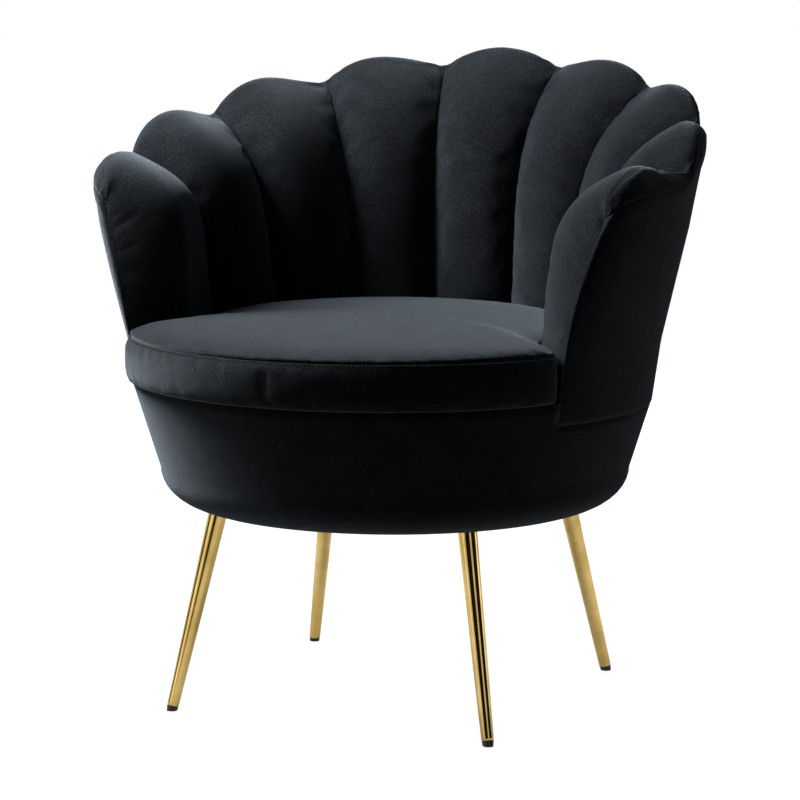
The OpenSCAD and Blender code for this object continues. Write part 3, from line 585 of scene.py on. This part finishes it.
def on_crest_seam(k, v):
    return k == ARM_K and round(v * CHANNEL_ROWS) == CREST_SEAM_ROW


def channel_front(k, side):
    """The outside of a channel's pad, from the deck up its face and over its crest. The arm's
    crest has a seam along it, from the top of the front seam to the next channel."""
    columns = {}

    def place(u, v):
        key = round(u, 6)
        if key not in columns:
            columns[key] = Column(k, across(u))
        column = columns[key]
        if v < FACE_SHARE:
            return sided(column.face(v / FACE_SHARE), side)
        arc = mix(column.start, 180, (v - FACE_SHARE) / (1 - FACE_SHARE))
        sink = CREST_SEAM_SINK * swell(column.c, 0.5) if on_crest_seam(k, v) else 0
        return sided(column.crest(arc) - Vector((0, 0, sink)), side)
    return place


def channel_back(k, side):
    """The back of a channel's pad, against the tub's inner board."""
    def place(u, v):
        return sided(Column(k, across(u)).back(clamp(v / BACK_SHARE)), side)
    return place


def back_channel(number):
    """A stuffed channel of the back, sewn to its neighbours down both sides."""
    k = abs(number - MIDDLE)
    side = -1 if number < MIDDLE else 1

    def sewn(u, v):
        at_side = abs(u - 0.5) > 0.5 - HELD_SIDE
        return at_side or v < HELD_END or v > 1 - HELD_END or on_crest_seam(k, v)
    mesh = backed_grid(CHANNEL_COLUMNS, CHANNEL_ROWS, channel_front(k, side),
                       channel_back(k, side), sewn)
    piece = finish_piece(mesh, f"velvet_channel_{number}", VELVET, "chair",
                         [f"channel_{number}"], "velvet")
    stuff(piece)


def wall_column(u):
    """The tub's columns from the left arm's front seam, at 0, to the right one's, at 1."""
    side = -1 if u < 0.5 else 1
    along = abs(u - 0.5) * 2 * (ARM_K + 1)
    if along < 0.5:
        return side, 0, along * 2
    k = min(ARM_K, int(along + 0.5))
    if k < ARM_K:
        return side, k, (along - k) * 2
    share = (along - (ARM_K - 0.5)) / 1.5
    return side, k, mix(-1, 1, share)


def outer_cover():
    """The velvet round the outside of the tub, from the hip up to the crests."""
    def place(u, v):
        side, k, c = wall_column(u)
        return sided(Column(k, c).outside(v), side)
    mesh = grid_over(240, 40, place)
    piece = finish_piece(mesh, "velvet_outer_cover", VELVET, "chair", ["outer_cover"], "velvet")
    thicken(piece, COVER_T)


def base_r(z):
    """The radius of the base's outside at a height above its rounded edge."""
    taper = (HIP_R - BASE_LOW_R) / (HIP_Z - BASE_Z - EDGE_H)
    return BASE_LOW_R + taper * (z - BASE_Z - EDGE_H)


def base_profile():
    """Radius and height of the base's outside, from under its lip up to the tub's foot."""
    points = [(BASE_LOW_R - EDGE_W - LIP_W, BASE_Z)]
    for i in range(11):
        a = 90 - 9 * i
        points.append((BASE_LOW_R - EDGE_W + EDGE_W * cosd(a), BASE_Z + EDGE_H - EDGE_H * sind(a)))
    heights = [mix(BASE_Z + EDGE_H, HIP_Z, i / 8) for i in range(1, 9)]
    return points + [(base_r(z), z) for z in heights]


# Half of the base's front, from its middle to the arm's seam, as an angle about the base's middle
FRONT_HALF = math.degrees(math.atan2(FRONT_HIP_R * sind(FRONT_LOW),
                                     TUB_SHIFT - FRONT_HIP_R * cosd(FRONT_LOW))) - 0.25


def spin_profile(mesh, points, start, sweep, steps):
    """Turns a profile of radius and height about the base's middle, from start through sweep
    degrees, counted from the front."""
    verts = [mesh.verts.new(Vector((r * sind(start), BASE_Y - r * cosd(start), z)) * MM)
             for r, z in points]
    edges = [mesh.edges.new(pair) for pair in zip(verts, verts[1:])]
    bmesh.ops.spin(mesh, geom=verts + edges, cent=(0, BASE_Y * MM, 0), axis=(0, 0, 1),
                   angle=math.radians(sweep), steps=steps, use_merge=False)


def base_cover():
    """The velvet round the drum base, drawn in under its rounded lower edge. Between the arms it
    runs on up to the deck."""
    mesh = bmesh.new()
    spin_profile(mesh, base_profile(), -FRONT_HALF, 2 * FRONT_HALF, 64)
    spin_profile(mesh, base_profile(), FRONT_HALF, 360 - 2 * FRONT_HALF, 112)
    band = [(base_r(z), z) for z in (HIP_Z, mix(HIP_Z, DECK_Z, 0.5), DECK_Z - 1.5)]
    spin_profile(mesh, band, -FRONT_HALF, 2 * FRONT_HALF, 64)
    piece = finish_piece(mesh, "velvet_base_cover", VELVET, "chair", ["base_cover"], "velvet")
    thicken(piece, BASE_SKIN)


# The seat cushion

# The cushion's rear ends at the arm's nose, and its ears, the corners in front of the arms, start
# just past the arm's front seam
REAR_END = NOSE_LOW
EAR_START, EAR_ANGLE = FRONT_LOW + 1.1, 6.2
EAR_R = CUSHION_FRONT_R - 7


def rear_r(angle):
    """The radius of the cushion's rear, drawn in where the arm's channel bulges further."""
    return CUSHION_REAR_R - (ARM_BULGE - CHANNEL_BULGE) * clamp((angle - 60) / 30) ** 2


def cushion_half():
    """The cushion's outline on one side, as angle, radius and share of the boxing's swell."""
    points = [(2.5 * i, rear_r(2.5 * i), 0) for i in range(42)]
    for i in range(13):
        b = 7.5 * i
        points.append((mix(REAR_END, EAR_START, sind(b)), mix(EAR_R, rear_r(REAR_END), cosd(b)),
                       sind(b)))
    points.append((EAR_START + EAR_ANGLE / 3, mix(EAR_R, CUSHION_FRONT_R, 0.65), 1))
    points += [(EAR_START + EAR_ANGLE + 2.4 * i, CUSHION_FRONT_R, 1) for i in range(24)]
    return points


def even_outline(count):
    """The whole outline at even steps, as points with their share of the boxing's swell."""
    right = [p for p in cushion_half() if p[0] < 180]
    whole = right + [(180, CUSHION_FRONT_R, 1)] + [(-a, r, f) for a, r, f in reversed(right[1:])]
    points = [(polar(a, r, 0), f) for a, r, f in whole]
    points.append(points[0])
    lengths = [0]
    for (p, _), (q, _) in zip(points, points[1:]):
        lengths.append(lengths[-1] + (q - p).length)
    made, j = [], 0
    for i in range(count):
        at = lengths[-1] * i / count
        while lengths[j + 1] < at:
            j += 1
        share = (at - lengths[j]) / (lengths[j + 1] - lengths[j])
        made.append((points[j][0].lerp(points[j + 1][0], share),
                     mix(points[j][1], points[j + 1][1], share)))
    for _ in range(3):
        made = [((made[i - 1][0] + 2 * made[i][0] + made[(i + 1) % count][0]) / 4, made[i][1])
                for i in range(count)]
    return made


CUSHION_COLUMNS = 288
OUTLINE = even_outline(CUSHION_COLUMNS)
CUSHION_MIDDLE = Vector((0, TUB_Y, 0))
# Rings of the cushion: share of the radius, inset, share of the boxing's swell, and height. The
# rows stand close together at the two seams.
CUSHION_ROWS = (
    [(s, 4, 0, DECK_Z) for s in (0, 0.35, 0.7, 0.9)] + [(1, 6, 0, DECK_Z)]
    + [(1, 2.4, 0, DECK_Z + 0.7), (1, 1.6, 0, DECK_Z + 2.2)]
    + [(1, 0.3, 0.2, DECK_Z + 3.4), (1, -0.4, 0.3, DECK_Z + 6)]
    + [(1, -0.4 * swell(2 * s - 1, 0.5), 0.3 + 0.7 * swell(2 * s - 1, 0.6), mix(DECK_Z, SEAM_Z, s))
       for s in (0.2, 0.32, 0.44, 0.56, 0.68, 0.8)]
    + [(1, -0.4, 0.3, SEAM_Z - 6), (1, 0.2, 0.2, SEAM_Z - 2.8), (1, 1.3, 0.1, SEAM_Z - 1.1)]
    + [(1, 4.2, 0, SEAM_Z)]
    + [(1, 1.4, 0, SEAM_Z + 1.2), (1, 0.8, 0, SEAM_Z + 3.2)]
    + [(s, 3 * min(1, (1 - s) * 20), 0, SEAM_Z + CROWN_H * h) for s, h in
       ((0.99, 0.22), (0.975, 0.31), (0.955, 0.4), (0.93, 0.49), (0.9, 0.57), (0.86, 0.65),
        (0.81, 0.73), (0.75, 0.8), (0.67, 0.87), (0.58, 0.92), (0.46, 0.96), (0.33, 0.985),
        (0.18, 0.997), (0, 1))])


def cushion_point(number, share, inset, bulge, z):
    """A point of the cushion, on the line from its middle to a numbered point of its outline."""
    point, front = OUTLINE[number % CUSHION_COLUMNS]
    out = point - CUSHION_MIDDLE
    length = out.length * share - inset + BOXING_BULGE * front * bulge
    place = CUSHION_MIDDLE + out.normalized() * max(0.0, length)
    return Vector((place.x, place.y, z))


def cushion_row(v):
    return CUSHION_ROWS[round(v * (len(CUSHION_ROWS) - 1))]


def cushion_place(u, v):
    """A point of the cushion: u goes round it, v from under its middle up to its crown."""
    return cushion_point(round(u * CUSHION_COLUMNS), *cushion_row(v))


def cushion_sewn(u, v):
    """The cushion is held where it lies on the deck and along both of its seams."""
    share, _, _, z = cushion_row(v)
    return z < DECK_Z + 3 or (z == SEAM_Z and share == 1)


def seat_cushion():
    """The cushion's velvet cover, round its crown, its boxing and its underside."""
    mesh = grid_over(CUSHION_COLUMNS, len(CUSHION_ROWS) - 1, cushion_place, cushion_sewn)
    piece = finish_piece(mesh, "velvet_seat_cushion", VELVET, "seat_cushion", ["cushion_cover"],
                         "velvet")
    stuff(piece)


# Stitches and small parts

def thread_bead():
    """One stitch that shows: a six-sided bead of radius 1 mm."""
    mesh = bmesh.new()
    bmesh.ops.create_uvsphere(mesh, u_segments=6, v_segments=4, radius=MM)
    data = bpy.data.meshes.new("thread_bead")
    mesh.to_mesh(data)
    mesh.free()
    return data


BEAD = thread_bead()


def stitch_row(mesh, points, thick, pitch=STITCH_PITCH, length=STITCH_LENGTH):
    """A row of thread stitches along a line of points, each a bead drawn out along the seam."""
    travelled, due = 0.0, 0.0
    size = Matrix.Diagonal((thick / 2, thick / 2, length / 2, 1))
    for p, q in zip(points, points[1:]):
        step = (q - p).length
        turn = (q - p).to_track_quat("Z", "X").to_matrix().to_4x4()
        while step > 0 and due <= travelled + step:
            at = p.lerp(q, (due - travelled) / step)
            before = len(mesh.verts)
            mesh.from_mesh(BEAD)
            mesh.verts.ensure_lookup_table()
            place = Matrix.Translation(at * MM) @ turn @ size
            for vert in mesh.verts[before:]:
                vert.co = place @ vert.co
            due += pitch
        travelled += step


def cushion_stitches():
    """Stitches round the cushion's two seams, each a row of points a little inside its outline."""
    mesh = bmesh.new()
    for inset, z, thick in [(1.2, SEAM_Z, TOP_THREAD), (0.8, DECK_Z + 2.2, LOW_THREAD)]:
        seam = [cushion_point(i, 1, inset, 0, z) for i in range(CUSHION_COLUMNS + 1)]
        stitch_row(mesh, seam, thick)
    finish_piece(mesh, "cushion_stitches", THREAD, "seat_cushion")


def arm_stitches(side):
    """Stitches down the arm's front seam, from its shoulder to the base, and up over the nose
    along the seam of its crest."""
    mesh = bmesh.new()
    column, steps = Column(ARM_K, 0.999), 60
    down = [sided(column.outside(1 - i / steps), side) for i in range(steps + 1)]
    stitch_row(mesh, [p + Vector((0, -0.4, 0)) for p in down], ARM_THREAD)
    front = channel_front(ARM_K, side)
    over = [front(1 - i / steps, CREST_SEAM_ROW / CHANNEL_ROWS) for i in range(steps)]
    stitch_row(mesh, [p + Vector((0, 0, 0.3)) for p in over], CREST_THREAD)
    name = "arm_stitches_left" if side < 0 else "arm_stitches_right"
    finish_piece(mesh, name, THREAD, "chair")


def leg_matrix(x, y):
    """Turns a leg made straight up on the floor onto its lean, for the signs of its corner."""
    foot = Vector((x * (LEG_TOP[0] + LEAN[0]), BASE_Y + y * (LEG_TOP[1] + LEAN[1]), 0))
    top = Vector((x * LEG_TOP[0], BASE_Y + y * LEG_TOP[1], LEG_TOP_Z))
    along = top - foot
    return Matrix.Translation(foot * MM) @ along.to_track_quat("Z", "X").to_matrix().to_4x4(), along


def turned(points, steps=48):
    """A body of revolution about Z from a profile of radius and height."""
    mesh = bmesh.new()
    verts = [mesh.verts.new(Vector((r, 0, z)) * MM) for r, z in points]
    edges = [mesh.edges.new(pair) for pair in zip(verts, verts[1:])]
    bmesh.ops.spin(mesh, geom=verts + edges, cent=(0, 0, 0), axis=(0, 0, 1),
                   angle=2 * math.pi, steps=steps, use_merge=True)
    return mesh


def cut_level(mesh, place, z, way):
    """Puts a part made straight up into its place, cuts off level what is above height z, or
    below it where way is -1, and returns the edges of the cut."""
    bmesh.ops.transform(mesh, matrix=place, verts=mesh.verts)
    bmesh.ops.remove_doubles(mesh, verts=mesh.verts, dist=MERGE)
    everything = list(mesh.verts) + list(mesh.edges) + list(mesh.faces)
    cut = bmesh.ops.bisect_plane(mesh, geom=everything, plane_co=(0, 0, z * MM),
                                 plane_no=(0, 0, way), clear_outer=True)
    return [g for g in cut["geom_cut"] if isinstance(g, bmesh.types.BMEdge)]


def brass_leg(name, x, y):
    """A tapered tube, its lower rim turned in over the foot cap and its top cut off level."""
    place, along = leg_matrix(x, y)
    slope = (LEG_TOP_D - LEG_LOW_D) / 2 / along.length
    # Made longer than it ends up, because it leans and its top is cut off level
    spare = 20
    end = along.length + spare
    low, top = LEG_LOW_D / 2 + slope * CAP_H, LEG_TOP_D / 2 + slope * spare
    mesh = turned([(top - LEG_WALL, end), (low - LEG_WALL, CAP_H + 0.2), (low - 0.9, CAP_H),
                   (low - 0.3, CAP_H), (low, CAP_H + 0.4), (low + slope * 3, CAP_H + 3),
                   (mix(low, top, 0.5), mix(CAP_H, end, 0.5)), (top, end)])
    rims = cut_level(mesh, place, LEG_TOP_Z, 1)
    bmesh.ops.bridge_loops(mesh, edges=rims)
    # The cut's edges are sharp, so the tube shades evenly right up to them
    for edge in rims:
        edge.smooth = False
    finish_piece(mesh, f"brass_{name}", BRASS, "chair", [name], "brass_plate")


def foot_cap(name, x, y):
    """A moulded cap pushed into the tube's end, cut flat where it stands."""
    place, _ = leg_matrix(x, y)
    r = LEG_LOW_D / 2
    mesh = turned([(0, -6), (r * 0.86, -6), (r * 0.88, 0.6), (r - 0.2, CAP_H - 0.8),
                   (r - 0.5, CAP_H - 0.3), (r - LEG_WALL - 0.4, CAP_H - 0.3),
                   (r - LEG_WALL - 0.4, CAP_H + 13), (r - LEG_WALL - 1.4, CAP_H + 14),
                   (0, CAP_H + 14)], steps=32)
    rim = cut_level(mesh, place, 0, -1)
    bmesh.ops.holes_fill(mesh, edges=rim, sides=0)
    bmesh.ops.bevel(mesh, geom=rim, offset=0.5 * MM, offset_type="OFFSET", segments=2, profile=0.5,
                    affect="EDGES", material=-1)
    finish_piece(mesh, f"moulded_{name}", CAP, "chair", [name], "foot_plastic")


def soft_copy(node, material, body, slot, rounding):
    """A soft piece of the same form as its CAD solid, with its edges rounded over."""
    mesh = bmesh.new()
    mesh.from_mesh(nodes[node].data)
    piece = finish_piece(mesh, f"soft_{node}", material, body, [node], slot, smooth=False)
    edge = piece.modifiers.new("rounding", "BEVEL")
    edge.width = rounding * MM
    edge.segments = 2
    edge.limit_method = "ANGLE"
    edge.angle_limit = math.radians(40)
    return piece


def deck_edge(angle):
    """How far the deck reaches from the tub's middle: the pads' feet, and in front the base."""
    if abs(angle) < 180 - FRONT_HALF:
        return DECK_R
    from_base = math.sqrt(DECK_BASE_R ** 2 - (TUB_SHIFT * sind(angle)) ** 2)
    return max(DECK_R, from_base + TUB_SHIFT * cosd(angle))


def deck_cloth():
    """The cloth over the seat's deck, a little slack between the straps under it."""
    def place(u, v):
        angle = 360 * u - 180
        at = polar(angle, deck_edge(angle) * v, 0)
        slack = noise.noise(at / 70) * DECK_SLACK * (1 - v ** 4)
        return Vector((at.x, at.y, DECK_Z - DECK_CLOTH_DROP + slack))
    mesh = grid_over(240, 40, place)
    piece = finish_piece(mesh, "woven_deck_cloth", DECK, "chair", ["deck_cover"], "deck_cloth")
    thicken(piece, DECK_CLOTH_T)


def straps():
    """Elastic webbing across the seat ring, stapled at its ends."""
    for way in ("long", "cross"):
        for number, long in zip(range(1, 5), STRAP_LENGTHS):
            piece = soft_copy(f"webbing_{way}_{number}", WEBBING, "chair", "webbing", 0.3)


def dust_cloth():
    """Thin cloth under the base, with a hole for each leg."""
    piece = soft_copy("dust_cover", DUST, "chair", "dust_cloth", 0.1)


def fillings():
    """The felt pad on the deck, the base's wadding and the foams, hidden under the velvet."""
    for node, material, body, slot, rounding, fill in [
            ("deck_pad", FELT, "chair", "felt", 1.5, 0.9),
            ("base_wadding", FOAM, "chair", "foam", 1, 0.8),
            ("channel_foams", FOAM, "chair", "foam", 1, 0.9),
            ("cushion_foam", FOAM, "seat_cushion", "foam", 4, 1)]:
        soft_copy(node, material, body, slot, rounding)


def zip_line(shift, z):
    """Points along the zip, from its closed end round to its open one."""
    return [polar(2 * i - ZIP_ANGLE, CUSHION_REAR_R + shift, z) for i in range(int(ZIP_ANGLE) + 1)]


def cushion_zip():
    """A coil zip across the rear of the boxing: its tape, and two rows of coils that mesh."""
    tape = soft_copy("cushion_zip", TAPE, "seat_cushion", "zip_tape", 0.2)
    mesh = bmesh.new()
    middle = DECK_Z + BOXING_H / 2
    for spread in (-COIL_SPREAD, COIL_SPREAD):
        stitch_row(mesh, zip_line(ZIP_T + 0.5, middle + spread), COIL_D, COIL_PITCH, COIL_LENGTH)
    finish_piece(mesh, "zip_coils", CAP, "seat_cushion")


def slider_shell():
    """The zip's slider, cast with rounded edges."""
    soft_copy("zip_slider", STEEL, "zip_slider", "zip_metal", 0.5)


# Floor, lamps and camera

def stage_floor():
    """A pale floor that keeps the shadow and runs out white to the camera."""
    material, tree = new_material("painted_studio_floor")
    rays = add(tree, "ShaderNodeLightPath")
    # White to the camera but for a faint painted shadow at the feet, from ambient occlusion, and
    # painted shade, also from occlusion, under the chair where the brass mirrors it
    near = add(tree, "ShaderNodeAmbientOcclusion", {"Distance": 0.12})
    wide = add(tree, "ShaderNodeAmbientOcclusion", {"Distance": 0.7})
    painted_contact_shadow = add(tree, "ShaderNodeMapRange", {"Value": near.outputs["AO"], "To Min": 0.8})
    shown = add(tree, "ShaderNodeMath", {0: rays.outputs["Is Camera Ray"],
                                         1: painted_contact_shadow.outputs[0]}, operation="MULTIPLY")
    mirrored_with_painted_shade = add(tree, "ShaderNodeMath", {0: rays.outputs["Is Glossy Ray"],
                                            1: wide.outputs["AO"]}, operation="MULTIPLY")
    seen = add(tree, "ShaderNodeMath", {0: shown.outputs[0], 1: mirrored_with_painted_shade.outputs[0]},
               operation="ADD")
    lit = add(tree, "ShaderNodeBsdfDiffuse", {"Color": srgb("#808080")})
    glow = add(tree, "ShaderNodeEmission", {"Color": (1, 1, 1, 1), "Strength": seen.outputs[0]})
    both = add(tree, "ShaderNodeAddShader", {0: lit.outputs[0], 1: glow.outputs[0]})
    add(tree, "ShaderNodeOutputMaterial", {"Surface": both.outputs[0]})
    mesh = bmesh.new()
    bmesh.ops.create_grid(mesh, x_segments=2, y_segments=2, size=30)
    make_object(mesh, "studio_floor", material)


def area_lamp(name, place, aim, size, watts):
    """A softbox, its place, aim and size in metres."""
    lamp = bpy.data.lights.new(name, "AREA")
    lamp.shape = "RECTANGLE"
    lamp.size, lamp.size_y = size
    lamp.energy = watts
    holder = bpy.data.objects.new(name, lamp)
    holder.location = place
    holder.rotation_euler = (Vector(aim) - Vector(place)).to_track_quat("-Z", "Y").to_euler()
    bpy.context.scene.collection.objects.link(holder)


def studio_light():
    """A white world that lights the chair hardly at all, and four softboxes."""
    world = bpy.data.worlds.new("studio")
    bpy.context.scene.world = world
    world.use_nodes = True
    tree = world.node_tree
    tree.nodes.clear()
    rays = add(tree, "ShaderNodeLightPath")
    seen = add(tree, "ShaderNodeMath", {0: rays.outputs["Is Camera Ray"],
                                        1: rays.outputs["Is Glossy Ray"]}, operation="MAXIMUM")
    shown = add(tree, "ShaderNodeMath", {0: seen.outputs[0],
                                         1: rays.outputs["Is Transmission Ray"]},
                operation="MAXIMUM")
    strength = add(tree, "ShaderNodeMapRange", {"Value": shown.outputs[0], "To Min": 0.004,
                                                "To Max": 1.0})
    background = add(tree, "ShaderNodeBackground", {"Color": (1, 1, 1, 1),
                                                    "Strength": strength.outputs[0]})
    add(tree, "ShaderNodeOutputWorld", {"Surface": background.outputs[0]})
    area_lamp("key_softbox", (-1.0, -0.3, 1.35), (-0.3, -0.2, 0.4), (0.5, 0.7), 36)
    area_lamp("top_softbox", (-0.5, -1.2, 2.6), (0, 0, 0.6), (1.2, 1.2), 1)
    # Behind the chair, so that its back and far side read in other views
    area_lamp("back_softbox", (-1.15, 2.6, 1.2), (0, 0, 0.5), (1.2, 1.4), 70)
    area_lamp("side_softbox", (2.2, 1.2, 0.3), (0, 0, 0.45), (1.2, 0.4), 3)


# The bearing that the photograph was taken from, and how far out the cards stand, in metres
CAMERA_AZIMUTH, CARD_R = 23.6, 4.6


def studio_card(name, start, sweep, material):
    """A curved card beyond the camera, from one bearing through a sweep. Only the brass mirrors
    it, as a streak down the legs."""
    mesh = bmesh.new()
    low = mesh.verts.new(Vector((CARD_R * sind(start), -CARD_R * cosd(start), -0.5)))
    high = mesh.verts.new(Vector((CARD_R * sind(start), -CARD_R * cosd(start), 7)))
    bmesh.ops.spin(mesh, geom=[low, high, mesh.edges.new((low, high))], cent=(0, 0, 0),
                   axis=(0, 0, 1), angle=math.radians(sweep), steps=24, use_merge=False)
    card = make_object(mesh, name, material)
    card.visible_camera = card.visible_diffuse = card.visible_shadow = False


def leg_cards():
    """Black cards and one lit card, for the streaks that polished tube shows in a studio."""
    black = speckled("black_card", [(0.3, "#120f0c"), (0.7, "#1c1814")], 4, 1, 0.95)
    lit, tree = new_material("lit_card")
    glow = add(tree, "ShaderNodeEmission", {"Color": srgb("#fff8ea"), "Strength": 2.2})
    add(tree, "ShaderNodeOutputMaterial", {"Surface": glow.outputs[0]})
    for name, start, sweep, material in [("middle_card", -36, 50, black),
                                         ("right_card", 34, 110, black),
                                         ("left_card", -104, 22, black),
                                         ("lit_card", -66, 12, lit)]:
        studio_card(name, CAMERA_AZIMUTH + start, sweep, material)


def photo_camera():
    """The camera where the photograph was taken from: its bearing, height and distance were
    worked out from the seams, the feet and the outline."""
    elevation, distance = 8.4, 3.63
    # The focal length and the width of the photograph, in pixels
    focal, width = 2945, 800
    target = Vector((0, -0.0135, 0.366))
    back = Vector((sind(CAMERA_AZIMUTH) * cosd(elevation),
                   -cosd(CAMERA_AZIMUTH) * cosd(elevation), sind(elevation)))
    lens = bpy.data.cameras.new("photo_camera")
    lens.sensor_width = 36
    lens.lens = focal / width * lens.sensor_width
    lens.shift_x = 0.00625
    camera = bpy.data.objects.new("photo_camera", lens)
    camera.location = target + back * distance
    camera.rotation_euler = (-back).to_track_quat("-Z", "Y").to_euler()
    bpy.context.scene.collection.objects.link(camera)
    bpy.context.scene.camera = camera


bpy.context.scene.view_settings.view_transform = "Standard"
photo_camera()
stage_floor()
studio_light()
leg_cards()

for node_name, node_material in NODE_MATERIALS.items():
    slots = nodes[node_name].data.materials
    slots.clear()
    slots.append(node_material)

for channel_number in range(1, 10):
    back_channel(channel_number)
outer_cover()
base_cover()
seat_cushion()
cushion_stitches()
arm_stitches(-1)
arm_stitches(1)
for corner, (corner_x, corner_y) in {"front_left": (-1, -1), "front_right": (1, -1),
                                     "rear_left": (-1, 1), "rear_right": (1, 1)}.items():
    brass_leg(f"leg_{corner}", corner_x, corner_y)
    foot_cap(f"foot_cap_{corner}", corner_x, corner_y)

blow_out()

fillings()
deck_cloth()
straps()
dust_cloth()
cushion_zip()
slider_shell()
